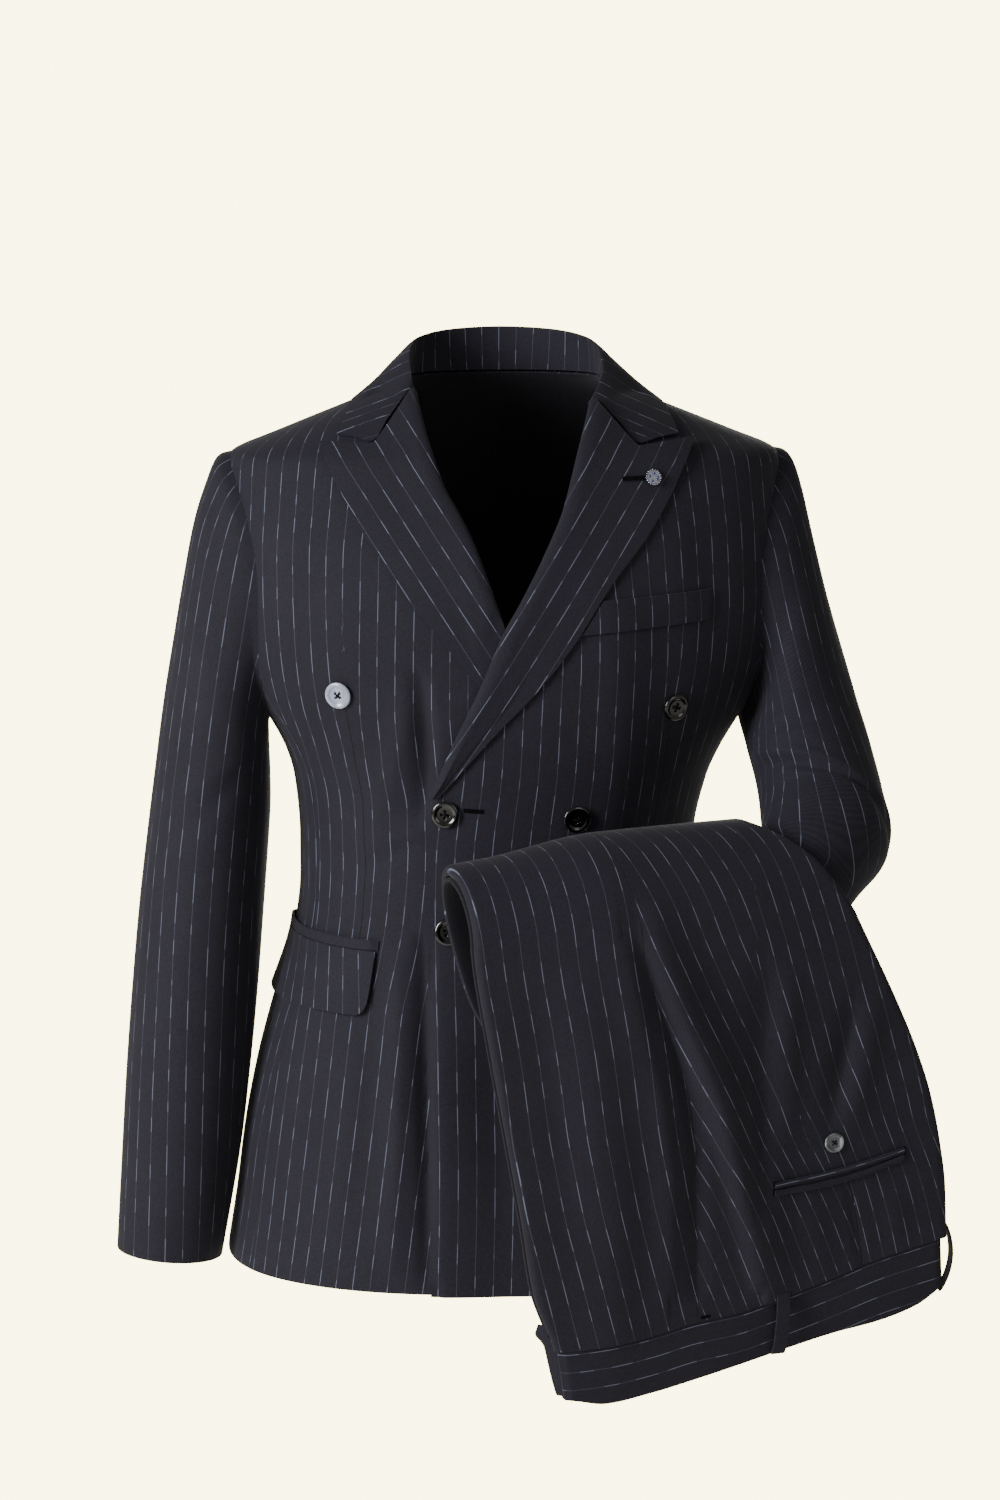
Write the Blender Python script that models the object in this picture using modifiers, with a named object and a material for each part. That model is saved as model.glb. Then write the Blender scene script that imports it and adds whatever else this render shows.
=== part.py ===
"""Double-breasted suit jacket, worn shape, with the trousers of the suit draped over its bent left forearm.

Metres, +Z up, the front faces -Y. The origin is the middle of the neck opening at shoulder height.
Left and right are the wearer's, so the left side lies at +X.
"""
import math

import bmesh
import bpy
import numpy as np

# Cloth and seams
WALL = 0.0020          # jacket body and sleeves, cloth and canvas together
LAYER_WALL = 0.0016    # lapels and collar
SEAM = 0.0003          # half of the gap between two pieces
OVERLAP = 0.0062       # how far the left front lies out over the right front
ROUNDNESS = 2.3        # of the body sections, 2 is an ellipse

# Body sections: height, half width, front depth, back depth, sideways shift
BODY = [
    (-0.704, 0.2280, -0.155, 0.133, 0.000),
    (-0.660, 0.2210, -0.152, 0.132, 0.000),
    (-0.600, 0.2120, -0.148, 0.129, -0.001),
    (-0.548, 0.2010, -0.143, 0.125, -0.002),
    (-0.498, 0.1870, -0.138, 0.119, -0.003),
    (-0.435, 0.1660, -0.130, 0.106, -0.005),
    (-0.390, 0.1600, -0.125, 0.097, -0.006),
    (-0.360, 0.1600, -0.124, 0.096, -0.006),
    (-0.311, 0.1670, -0.126, 0.101, -0.003),
    (-0.286, 0.1760, -0.128, 0.106, -0.001),
    (-0.262, 0.1895, -0.130, 0.111, 0.000),
    (-0.235, 0.2065, -0.132, 0.116, 0.000),
    (-0.200, 0.2205, -0.133, 0.119, 0.000),
    (-0.160, 0.2255, -0.130, 0.120, 0.000),
    (-0.100, 0.2255, -0.118, 0.112, 0.000),
    (-0.060, 0.2235, -0.103, 0.099, 0.000),
    (-0.047, 0.2200, -0.098, 0.095, 0.000),
    (-0.037, 0.1950, -0.092, 0.090, 0.000),
    (-0.024, 0.1630, -0.084, 0.084, 0.000),
    (-0.011, 0.1300, -0.073, 0.077, 0.000),
    (-0.003, 0.1100, -0.067, 0.071, 0.000),
    (0.010, 0.0780, -0.055, 0.060, 0.000),
    (0.030, 0.0750, -0.052, 0.058, 0.000),
    (0.060, 0.0720, -0.050, 0.056, 0.000),
]

# Rows of the fronts and backs, hem to neck
HEM = -0.704
NECK = 0.010
SHOULDER_TIP = -0.047
ROWS = [
    HEM, -0.650, -0.596, -0.544, -0.494, -0.450, -0.412, -0.374, -0.338, -0.304, -0.268, -0.2276, -0.196,
    -0.165, -0.136, -0.108, -0.082, -0.062, SHOULDER_TIP, -0.035, -0.022, -0.010, NECK,
]

# Armhole: an oval opening round the side of the body
ARMHOLE_MID = -0.1545
ARMHOLE_HALF = 0.1075
ARMHOLE_ANGLE = 28.0
SIDE_SEAM_ANGLE = 22.0

# Front edges from neck to hem: height, x
LEFT_EDGE = [
    (0.010, 0.0772), (0.001, 0.0705), (-0.006, 0.0660), (-0.045, 0.0530), (-0.085, 0.0410), (-0.122, 0.0240),
    (-0.152, 0.0080), (-0.180, -0.0080), (-0.222, -0.0260), (-0.261, -0.0440), (-0.298, -0.0590),
    (-0.312, -0.0660), (-0.332, -0.0680), (-0.704, -0.0680),
]
RIGHT_EDGE = [
    (0.010, -0.0772), (0.001, -0.0750), (-0.012, -0.0730), (-0.037, -0.0670), (-0.066, -0.0570), (-0.088, -0.0450),
    (-0.111, -0.0340), (-0.141, -0.0230), (-0.172, -0.0128), (-0.182, -0.0092), (-0.222, 0.0172), (-0.261, 0.0420),
    (-0.298, 0.0590), (-0.312, 0.0660), (-0.332, 0.0680), (-0.704, 0.0680),
]

# Lapels: roll line and outer edge, top to bottom, and the top edge from roll to peak: x, height
LEFT_ROLL = [(0.066, -0.006), (0.053, -0.045), (0.041, -0.085), (0.024, -0.122), (0.008, -0.152), (-0.008, -0.180),
             (-0.026, -0.222), (-0.044, -0.261), (-0.0575, -0.294), (-0.0640, -0.3055)]
LEFT_OUTER = [(0.145, -0.034), (0.133, -0.054), (0.124, -0.073), (0.102, -0.107), (0.072, -0.144), (0.046, -0.183),
              (0.015, -0.222), (-0.013, -0.251), (-0.043, -0.286), (-0.0590, -0.3055)]
LEFT_TOP = [(0.066, -0.006), (0.098, -0.0385), (0.145, -0.034)]
RIGHT_ROLL = [(-0.075, 0.001), (-0.073, -0.012), (-0.067, -0.037), (-0.057, -0.066), (-0.045, -0.088),
              (-0.034, -0.111), (-0.023, -0.141), (-0.012, -0.172), (-0.008, -0.182), (0.018, -0.222),
              (0.042, -0.261), (0.059, -0.298), (0.0655, -0.311)]
RIGHT_OUTER = [(-0.148, -0.036), (-0.143, -0.052), (-0.132, -0.073), (-0.116, -0.102), (-0.090, -0.140),
               (-0.071, -0.166), (-0.059, -0.180), (-0.026, -0.222), (0.003, -0.251), (0.036, -0.286),
               (0.0605, -0.311)]
RIGHT_TOP = [(-0.075, 0.001), (-0.107, -0.0355), (-0.148, -0.036)]
# Across a lapel from behind the roll: distance from the roll line, height over the front
ROLL = [(-0.0032, -0.0018), (-0.0036, 0.0014), (-0.0016, 0.0042), (0.0045, 0.0054), (0.012, 0.0046), (0.022, 0.0036)]
LAPEL_FLAT = 0.0030
LAPEL_COLUMNS = 9
TIGHT_WIDTH = 0.034     # a lapel narrower than this squeezes its roll
PEAK_LIFT = 0.0026     # more at the peaks, where the cloth stands off

# Sleeve rings, shoulder to cuff: outer x y z, inner x y z, half depth, share of the armhole shape
STRAIGHT_SLEEVE = [
    (0.2208, 0.000, -0.0470, 0.1888, 0.000, -0.2620, 0.064, 1.00),
    (0.2318, 0.000, -0.0515, 0.1893, 0.000, -0.2625, 0.064, 0.90),
    (0.2400, 0.000, -0.0700, 0.1896, 0.000, -0.2640, 0.065, 0.70),
    (0.2500, 0.000, -0.1030, 0.1900, 0.000, -0.2680, 0.066, 0.45),
    (0.2585, 0.000, -0.1480, 0.1900, 0.000, -0.2750, 0.066, 0.25),
    (0.2670, 0.000, -0.1990, 0.1900, 0.000, -0.2870, 0.066, 0.10),
    (0.2750, -0.001, -0.2480, 0.1895, -0.001, -0.3050, 0.065, 0.00),
    (0.2820, -0.002, -0.2980, 0.1895, -0.002, -0.3330, 0.064, 0.00),
    (0.2890, -0.003, -0.3500, 0.1920, -0.003, -0.3700, 0.063, 0.00),
    (0.2965, -0.004, -0.4100, 0.1960, -0.004, -0.4200, 0.061, 0.00),
    (0.3030, -0.006, -0.4750, 0.2010, -0.006, -0.4800, 0.058, 0.00),
    (0.3090, -0.009, -0.5460, 0.2080, -0.009, -0.5480, 0.054, 0.00),
    (0.3140, -0.012, -0.6200, 0.2170, -0.012, -0.6180, 0.050, 0.00),
    (0.3190, -0.015, -0.6985, 0.2330, -0.015, -0.7060, 0.046, 0.00),
]
BENT_SLEEVE = [
    (0.2208, 0.000, -0.0470, 0.1888, 0.000, -0.2620, 0.064, 1.00),
    (0.2318, 0.000, -0.0515, 0.1893, -0.002, -0.2625, 0.064, 0.90),
    (0.2392, -0.004, -0.0725, 0.1896, -0.006, -0.2640, 0.064, 0.70),
    (0.2477, -0.012, -0.1124, 0.1900, -0.012, -0.2670, 0.064, 0.45),
    (0.2582, -0.025, -0.1591, 0.1903, -0.024, -0.2720, 0.063, 0.25),
    (0.2697, -0.042, -0.2089, 0.1915, -0.040, -0.2800, 0.061, 0.10),
    (0.2776, -0.058, -0.2430, 0.1930, -0.055, -0.2900, 0.058, 0.00),
    (0.2853, -0.072, -0.2722, 0.1945, -0.072, -0.3000, 0.056, 0.00),
    (0.2923, -0.088, -0.3076, 0.1962, -0.092, -0.3105, 0.053, 0.00),
    (0.2960, -0.104, -0.3371, 0.1972, -0.110, -0.3175, 0.050, 0.00),
    (0.2954, -0.119, -0.3553, 0.1975, -0.127, -0.3215, 0.047, 0.00),
    (0.2861, -0.131, -0.3725, 0.1970, -0.137, -0.3240, 0.045, 0.00),
    (0.2642, -0.145, -0.3908, 0.1955, -0.146, -0.3268, 0.045, 0.00),
    (0.2393, -0.156, -0.4164, 0.1925, -0.155, -0.3298, 0.045, 0.00),
    (0.2135, -0.164, -0.4330, 0.1860, -0.163, -0.3345, 0.047, 0.00),
    (0.1570, -0.173, -0.4370, 0.1570, -0.173, -0.3370, 0.049, 0.00),
    (0.0990, -0.189, -0.4380, 0.0990, -0.189, -0.3385, 0.049, 0.00),
    (0.0410, -0.204, -0.4370, 0.0410, -0.204, -0.3440, 0.046, 0.00),
    (-0.0218, -0.221, -0.4360, -0.0218, -0.221, -0.3530, 0.042, 0.00),
]
FRONT_ARM_SEAM = 125.0   # round the sleeve from its outer line, front side
BACK_ARM_SEAM = 235.0    # the same way round, back side

# Top collar from the right notch round the neck to the left notch, each row from inside the neck over the fold.
# On the front a point is x, height, lift over the front; on the neck x, y, z.
COLLAR_FRONT_RIGHT = [(-0.0712, 0.0018, -0.0020), (-0.0752, 0.0026, 0.0044), (-0.1070, -0.0335, 0.0034),
                      (-0.1350, -0.0300, 0.0034)]
COLLAR_FRONT_LEFT = [(0.0618, -0.0045, -0.0020), (0.0662, -0.0038, 0.0044), (0.0980, -0.0360, 0.0034),
                     (0.1320, -0.0312, 0.0034)]
# foot x y z, fold x y z, middle of the fall x y z, then its edge as angle round the body, height, lift
COLLAR_HALF = [
    (0.0738, -0.0340, 0.0055, 0.0762, -0.0340, 0.0160, 0.1035, -0.0330, -0.0030, 59.0, -0.0185, 0.0032),
    (0.0752, -0.0180, 0.0098, 0.0765, -0.0180, 0.0270, 0.1010, -0.0170, 0.0095, 80.0, -0.0085, 0.0034),
    (0.0765, 0.0000, 0.0114, 0.0740, 0.0000, 0.0355, 0.0940, 0.0010, 0.0185, 91.0, -0.0040, 0.0036),
    (0.0700, 0.0285, 0.0114, 0.0660, 0.0260, 0.0410, 0.0855, 0.0300, 0.0215, 113.0, -0.0035, 0.0036),
    (0.0470, 0.0500, 0.0114, 0.0420, 0.0490, 0.0450, 0.0575, 0.0580, 0.0235, 143.0, -0.0045, 0.0036),
]
COLLAR_CLEAR = 0.0032    # least height of the fall over the body
COLLAR_BACK = (0.0, 0.0590, 0.0114, 0.0, 0.0605, 0.0465, 0.0, 0.0700, 0.0235, 180.0, -0.0055, 0.0036)

# Pockets of the jacket
FLAP_FRONT_ANGLE, FLAP_BACK_ANGLE = 41.0, 97.0
FLAP_TOP, FLAP_BOTTOM = -0.4305, -0.4810
FLAP_CORNER = 0.010
FLAP_LIFT_TOP, FLAP_LIFT_BOTTOM = 0.0036, 0.0050
JETTING_LIFT = 0.0036
WELT_LIFT = 0.0030
JETTING_TOP, JETTING_BOTTOM = -0.4215, -0.4298
WELT_CORNERS = [(0.0615, -0.179), (0.155, -0.172), (0.157, -0.148), (0.0765, -0.153)]

# Buttons: x, height, on the left front
BUTTON_RADIUS = 0.0108
BUTTONS = {
    "button_top_right": (-0.137, -0.228, False),
    "button_top_left": (0.127, -0.240, True),
    "button_middle_right": (-0.054, -0.3200, True),
    "button_middle_left": (0.047, -0.325, True),
    "button_bottom_right": (-0.052, -0.415, True),
    "button_bottom_left": (0.048, -0.418, True),
}
# Button profile: radius, height
BUTTON_PROFILE = [(0.0, 0.0), (0.0070, 0.0), (0.0104, 0.0012), (0.0108, 0.0022), (0.0100, 0.0032), (0.0080, 0.0034),
                  (0.0068, 0.0026), (0.0, 0.0024)]
PIN_X, PIN_HEIGHT = 0.109, -0.062
PIN_PROFILE = [(0.0, 0.0), (0.0060, 0.0), (0.0068, 0.0008), (0.0068, 0.0018), (0.0060, 0.0024), (0.0050, 0.0020),
               (0.0030, 0.0026), (0.0, 0.0030)]

# Trousers over the forearm. Along the forearm h grows toward the elbow, q is forward of its axis.
ARM_X, ARM_Y = 0.215, -0.158
ARM_ANGLE = math.radians(14.8)
# h, axis height, radius of the outer cloth
ARCH = [(-0.300, -0.3950, 0.0500), (-0.250, -0.3945, 0.0550), (-0.160, -0.3890, 0.0640), (-0.060, -0.3860, 0.0640),
        (0.000, -0.3850, 0.0640), (0.120, -0.3850, 0.0640)]
# left and right edges of the front hang: height, h
HANG_LEFT = [(-0.760, -0.2060), (-0.714, -0.2150), (-0.667, -0.2313), (-0.616, -0.2395), (-0.525, -0.2556),
             (-0.476, -0.2644), (-0.395, -0.2770), (-0.340, -0.2800)]
HANG_RIGHT = [(-0.760, 0.1090), (-0.688, 0.1083), (-0.657, 0.1068), (-0.619, 0.1052), (-0.582, 0.1001),
              (-0.541, 0.0916), (-0.499, 0.0780), (-0.451, 0.0575), (-0.385, 0.0250)]
# the same edges over the arch and behind: step along the path, h
BACK_LEFT = [(1.0, -0.2770), (1.5, -0.2800), (2.0, -0.2670), (2.5, -0.2530), (3.0, -0.2300), (4.2, -0.2350)]
BACK_RIGHT = [(1.0, 0.0250), (1.2, 0.0000), (1.5, -0.0400), (2.0, -0.0500), (3.0, -0.0550), (4.2, -0.0550)]
BACK_BOTTOM = -0.512
TURN_RADIUS = 0.0145
BACK_LEAN = 0.022
TURN_TOP = -0.452
# waistband: h, top height, bottom height
BAND = [(-0.222, -0.7140, -0.7540), (-0.207, -0.7140, -0.7540), (-0.178, -0.7125, -0.7584),
        (-0.140, -0.7076, -0.7536), (-0.103, -0.7002, -0.7464), (-0.069, -0.6964, -0.7390),
        (-0.034, -0.6880, -0.7309), (0.012, -0.6755, -0.7210), (0.050, -0.6640, -0.7151),
        (0.082, -0.6570, -0.7060), (0.108, -0.6518, -0.6900)]
# side seam, waist to behind the arm: path step or height, h
SIDE_SEAM = [(-0.760, -0.1014), (-0.694, -0.1014), (-0.605, -0.1022), (-0.534, -0.1061), (-0.497, -0.1146),
             (-0.453, -0.1314), (-0.409, -0.1463), (-0.381, -0.1500)]
SIDE_SEAM_BACK = [(1.0, -0.1500), (1.5, -0.1650), (3.0, -0.1700)]
PANEL_WALL = 0.0018
TROUSER_COLUMNS = 14
# steps along the drape: 0 waist, 1 to 2 over the arm, 3 the turn behind, 4 to 5 back up
PANEL_STEPS = [0, 0.12, 0.24, 0.36, 0.48, 0.6, 0.72, 0.84, 0.94, 1.0, 1.12, 1.25, 1.38, 1.5, 1.62, 1.75, 1.88,
               2.0, 2.25, 2.6, 2.92]
CORE_STEPS = PANEL_STEPS + [3.0, 3.25, 3.5, 3.75, 4.0, 4.4, 5.0]
# how a panel turns round the layers at its outer edge: depth, inset from the edge
EDGE_WRAP = [(-0.0060, 0.0014), (-0.0036, 0.0000), (-0.0012, 0.0006), (0.0, 0.0026)]
# stepped edge of the inner layers: depth below their outer face, inset from the edge
CORE_EDGE = [(0.0, 0.0050), (0.0010, 0.0036), (0.0018, 0.0038), (0.0024, 0.0050), (0.0030, -0.0020),
             (0.0052, -0.0024), (0.0061, 0.0008)]
CORE_COLUMNS = 6
CORE_GAP = 0.0032        # room under the outer cloth for its troughs
BAND_WALL = 0.0022
BAND_DEPTH = 0.0125
BAND_PROUD = 0.0004
BAND_LEFT, BAND_RIGHT = -0.2115, 0.1050
BAND_SLANT_LEFT, BAND_SLANT_RIGHT = 0.006, 0.002
BAND_TURN = 0.0055       # length of the rounded ends, where the two halves meet
BAND_END = 0.006         # share of the columns in the squared part of an end
BAND_SQUARE = 0.62       # share of the depth in it
# folds of the hang: path of h, height; half width; depth outward
TROUSER_FOLDS = [
    ([(-0.150, -0.370), (-0.1275, -0.426), (-0.1066, -0.470), (-0.0881, -0.511), (-0.0740, -0.555),
      (-0.0660, -0.585)], 0.017, 0.0090),
    ([(-0.165, -0.375), (-0.1463, -0.409), (-0.1314, -0.453), (-0.1146, -0.497), (-0.1061, -0.534),
      (-0.1001, -0.575)], 0.010, -0.0024),
    ([(-0.050, -0.440), (-0.052, -0.520), (-0.056, -0.600)], 0.016, -0.0020),
    ([(0.030, -0.460), (0.021, -0.500), (0.005, -0.555)], 0.016, 0.0035),
]
# folds of the jacket fronts: path of x, height; half width; depth outward
JACKET_FOLDS = [
    ([(-0.085, -0.235), (-0.078, -0.265), (-0.072, -0.300), (-0.074, -0.325)], 0.010, -0.0030),
    ([(-0.112, -0.330), (-0.100, -0.300), (-0.088, -0.270)], 0.012, 0.0022),
    ([(-0.090, -0.490), (-0.092, -0.560), (-0.100, -0.640)], 0.014, 0.0028),
    ([(0.100, -0.330), (0.112, -0.380), (0.118, -0.450)], 0.016, -0.0020),
]

# Belt loops: h, sideways turn; and back pocket
LOOP_LENGTH = 0.058
LOOP_WIDTH = 0.011
LOOP_OFF = 0.0038
LOOP_OFF_END = 0.0052
LOOP_BOW = 0.0050
LOOP_SLANT = 0.004
POCKET = [(-0.0406, -0.5985), (0.0690, -0.5800)]
POCKET_JETTING = 0.0052
POCKET_LIFT = 0.0040
POCKET_BUTTON = (0.0096, -0.5660)

for old in list(bpy.data.objects):
    bpy.data.objects.remove(old, do_unlink=True)
suit = bpy.data.collections.new("suit")
bpy.context.scene.collection.children.link(suit)


def material(name, colour, roughness, metallic=0.0):
    made = bpy.data.materials.new(name)
    made.use_nodes = True
    shader = made.node_tree.nodes["Principled BSDF"]
    shader.inputs["Base Color"].default_value = (*colour, 1.0)
    shader.inputs["Roughness"].default_value = roughness
    shader.inputs["Metallic"].default_value = metallic
    return made


CLOTH = material("dark striped wool", (0.016, 0.014, 0.022), 0.85)
HIDDEN = material("dark wool, inner layers", (0.012, 0.011, 0.017), 0.9)
PALE_BUTTON = material("pale grey horn button", (0.19, 0.20, 0.26), 0.35)
DARK_BUTTON = material("black marbled button", (0.008, 0.008, 0.010), 0.15)
SILVER = material("silver pin", (0.35, 0.36, 0.42), 0.3, 1.0)


def curve_through(xs, ys, at):
    """Smooth curve through the points of a table, without overshoot."""
    xs = np.asarray(xs, float)
    ys = np.asarray(ys, float)
    if xs[0] > xs[-1]:
        xs, ys = xs[::-1], ys[::-1]
    at = np.clip(np.asarray(at, float), xs[0], xs[-1])
    step = np.diff(xs)
    rise = np.diff(ys) / step
    slope = np.zeros(len(xs))
    slope[0], slope[-1] = rise[0], rise[-1]
    same = rise[:-1] * rise[1:] > 0
    both = rise[:-1] + rise[1:]
    slope[1:-1] = np.where(same, 2 * rise[:-1] * rise[1:] / np.where(same, both, 1.0), 0.0)
    k = np.clip(np.searchsorted(xs, at, side="right") - 1, 0, len(step) - 1)
    t = (at - xs[k]) / step[k]
    return ((2 * t**3 - 3 * t**2 + 1) * ys[k] + (t**3 - 2 * t**2 + t) * step[k] * slope[k]
            + (3 * t**2 - 2 * t**3) * ys[k + 1] + (t**3 - t**2) * step[k] * slope[k + 1])


def column(table, name, at, key=0):
    return curve_through([row[key] for row in table], [row[name] for row in table], at)


def spline(points, t):
    """Points of any dimension joined by a smooth curve, t from 0 to 1 by point number."""
    points = np.asarray(points, float)
    t = np.clip(np.asarray(t, float), 0, 1) * (len(points) - 1)
    k = np.clip(np.floor(t).astype(int), 0, len(points) - 2)
    f = (t - k)[..., None]
    before = points[np.maximum(k - 1, 0)]
    after = points[np.minimum(k + 2, len(points) - 1)]
    a, b = points[k], points[k + 1]
    return 0.5 * (2 * a + (b - before) * f + (2 * before - 5 * a + 4 * b - after) * f**2
                  + (3 * a - before - 3 * b + after) * f**3)


def by_length(points, t):
    """The polyline at t of its length."""
    points = np.asarray(points, float)
    run = np.concatenate([[0], np.cumsum(np.linalg.norm(np.diff(points, axis=0), axis=1))])
    t = np.asarray(t, float) * run[-1]
    return np.stack([np.interp(t, run, points[:, i]) for i in range(points.shape[1])], -1)


def ease(low, high, value):
    t = np.clip((value - low) / (high - low), 0, 1)
    return t * t * (3 - 2 * t)


def fold_height(folds, x, z):
    """Sum of the soft ridges and troughs of a table at x, z."""
    total = np.zeros(np.broadcast(x, z).shape)
    for path, width, depth in folds:
        path = np.asarray(path)
        nearest = np.full(total.shape, 1e3)
        along = np.zeros(total.shape)
        for i, (a, b) in enumerate(zip(path[:-1], path[1:])):
            d = b - a
            t = np.clip(((x - a[0]) * d[0] + (z - a[1]) * d[1]) / (d @ d), 0, 1)
            gap = np.hypot(x - a[0] - t * d[0], z - a[1] - t * d[1])
            closer = gap < nearest
            nearest = np.where(closer, gap, nearest)
            along = np.where(closer, (i + t) / (len(path) - 1), along)
        total += depth * np.exp(-(nearest / width) ** 2) * np.sin(np.pi * (0.12 + 0.76 * along)) ** 0.7
    return total


def section(angle, z):
    a = column(BODY, 1, z)
    front = column(BODY, 2, z)
    back = column(BODY, 3, z)
    shift = column(BODY, 4, z)
    s, c = np.sin(angle), np.cos(angle)
    reach = np.clip(1 - np.abs(s) ** ROUNDNESS, 0, 1) ** (1 / ROUNDNESS)
    y = np.where(c > 0, front * reach, back * reach)
    return np.stack(np.broadcast_arrays(shift + a * s, y, z), -1)


def body(angle, z, lift=0.0):
    """Point of the jacket body: angle in degrees from the centre front, + to the left side; lift outward."""
    angle = np.radians(np.asarray(angle, float))
    z = np.asarray(z, float)
    angle, z = np.broadcast_arrays(angle, z)
    small, low = 0.004, 0.0015
    across = section(angle + small, z) - section(angle - small, z)
    up = section(angle, z + low) - section(angle, z - low)
    normal = np.cross(across, up)
    normal /= np.linalg.norm(normal, axis=-1, keepdims=True)
    return section(angle, z) + normal * np.asarray(lift, float)[..., None]


def push_out(point, clear):
    """Moves points that lie under the body surface, or nearer than clear, out along its slope."""
    def depth(p):
        z = p[..., 2]
        wide = column(BODY, 1, z)
        deep = np.where(p[..., 1] < 0, -column(BODY, 2, z), column(BODY, 3, z))
        across = np.abs(p[..., 0] - column(BODY, 4, z)) / wide
        return (across ** ROUNDNESS + (np.abs(p[..., 1]) / deep) ** ROUNDNESS) ** (1 / ROUNDNESS)

    point = np.array(point)
    step = 0.0004
    for _ in range(4):
        here = depth(point)
        slope = np.stack([(depth(point + step * axis) - depth(point - step * axis)) / (2 * step)
                          for axis in np.eye(3)], -1)
        size = np.linalg.norm(slope, axis=-1)
        gap = (here - 1) / size
        short = np.clip(clear - gap, 0, None)
        point += slope / size[..., None] * short[..., None]
    return point


def angle_at(x, z):
    """Angle round the body of a point of the front at x."""
    a = column(BODY, 1, z)
    return np.degrees(np.arcsin(np.clip((x - column(BODY, 4, z)) / a, -0.9995, 0.9995)))


def right_front(x, z, lift=0.0):
    return body(angle_at(x, z), z, lift + fold_height(JACKET_FOLDS, x, z))


def overlap_height(x, z):
    """How far the left front is lifted where it lies over the right front."""
    return OVERLAP * (1 - ease(0.070, 0.125, x)) * (1 - ease(-0.190, -0.100, z))


def left_front(x, z, lift=0.0):
    return body(angle_at(x, z), z, lift + overlap_height(x, z) + fold_height(JACKET_FOLDS, x, z))


def side_x(angle, z):
    return column(BODY, 4, z) + column(BODY, 1, z) * np.sin(np.radians(angle))


def armhole_half_angle(z):
    return ARMHOLE_ANGLE * np.sqrt(np.clip(1 - ((z - ARMHOLE_MID) / ARMHOLE_HALF) ** 2, 0, 1))


def seam_in_degrees(z):
    return np.degrees(SEAM / column(BODY, 1, z))


def panel_edge(z):
    """How far from the side line the front or back ends, in degrees."""
    low = SIDE_SEAM_ANGLE + 0 * z
    corner = ARMHOLE_MID - ARMHOLE_HALF * math.sqrt(1 - (SIDE_SEAM_ANGLE / ARMHOLE_ANGLE) ** 2)
    return np.where(z < corner, low, np.where(z > SHOULDER_TIP, 0.0, armhole_half_angle(z))) + seam_in_degrees(z)


def row_height(v):
    return np.interp(v, np.linspace(0, 1, len(ROWS)), ROWS)


def left_front_panel(u, v):
    z = row_height(v)
    start = angle_at(column(LEFT_EDGE, 1, z), z)
    angle = start + (90 - panel_edge(z) - start) * u
    x = side_x(angle, z)
    return body(angle, z, overlap_height(x, z) + fold_height(JACKET_FOLDS, x, z))


def right_front_panel(u, v):
    z = row_height(v)
    end = angle_at(column(RIGHT_EDGE, 1, z), z)
    start = -90 + panel_edge(z)
    angle = start + (end - start) * u
    return body(angle, z, fold_height(JACKET_FOLDS, side_x(angle, z), z))


def back_panel(u, v, side):
    z = row_height(v)
    start = 90 + panel_edge(z)
    end = 180 - seam_in_degrees(z)
    angle = start + (end - start) * (u if side > 0 else 1 - u)
    return body(side * angle, z)


def side_panel(u, v, side):
    reach = SIDE_SEAM_ANGLE - 0.1
    angle = 90 - reach + 2 * reach * u
    top = ARMHOLE_MID - ARMHOLE_HALF * np.sqrt(1 - ((angle - 90) / ARMHOLE_ANGLE) ** 2)
    z = HEM + (top - HEM) * v
    gap = seam_in_degrees(z) * 2.6
    angle = 90 + (angle - 90) * (1 - gap / reach)
    return body(angle if side > 0 else -(180 - angle), z)


def lapel(u, v, roll, outer, top, surface, cover):
    """Turned-back lapel: u from behind the roll line to the outer edge, v from the bottom to the top."""
    down = 1 - v
    inner_point = by_length(roll, down)
    outer_point = by_length(outer, down)
    across = outer_point - inner_point
    width = np.linalg.norm(across, axis=-1)
    unit = across / width[..., None]
    number = np.asarray(u * LAPEL_COLUMNS)
    knots = np.arange(LAPEL_COLUMNS + 1)
    tight = np.minimum(1, width / TIGHT_WIDTH)
    lengths = [row[0] for row in ROLL]
    lifts = [row[1] for row in ROLL]
    rest = LAPEL_COLUMNS + 1 - len(ROLL)
    share = np.linspace(0, 1, rest + 1)[1:]
    near = np.interp(np.minimum(number, len(ROLL) - 1), knots[:len(ROLL)], lengths)
    near = np.where(near > 0, near * tight, near)
    last = lengths[-1] * tight
    far = last + (width - last) * np.interp(number, np.arange(len(ROLL) - 1, LAPEL_COLUMNS + 1), np.r_[0, share])
    distance = np.where(number <= len(ROLL) - 1, near, far)
    lift = np.interp(number, knots, np.r_[lifts, np.full(rest, LAPEL_FLAT)])
    point = inner_point + unit * distance[..., None]
    fraction = np.clip(distance / width, 0, 1)
    straight = np.asarray(top[0]) + (np.asarray(top[-1]) - np.asarray(top[0])) * fraction[..., None]
    bend = np.stack([np.interp(fraction, [0, abs(top[1][0] - top[0][0]) / abs(top[2][0] - top[0][0]), 1],
                               [p[i] for p in top]) for i in range(2)], -1) - straight
    point = point + bend * (v ** 4)[..., None]
    point[..., 1] -= SEAM * 3
    x, z = point[..., 0], point[..., 1]
    lift = lift + np.where(lift > 0, PEAK_LIFT * ease(-0.072, -0.046, z), 0.0)
    if cover:
        clear = ease(0.007, 0.025, column(LEFT_EDGE, 1, z) - x)
        lift = np.where(lift > 0, lift * clear + np.minimum(lift, LAPEL_FLAT) * (1 - clear), lift)
    return surface(x, z, lift)


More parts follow.
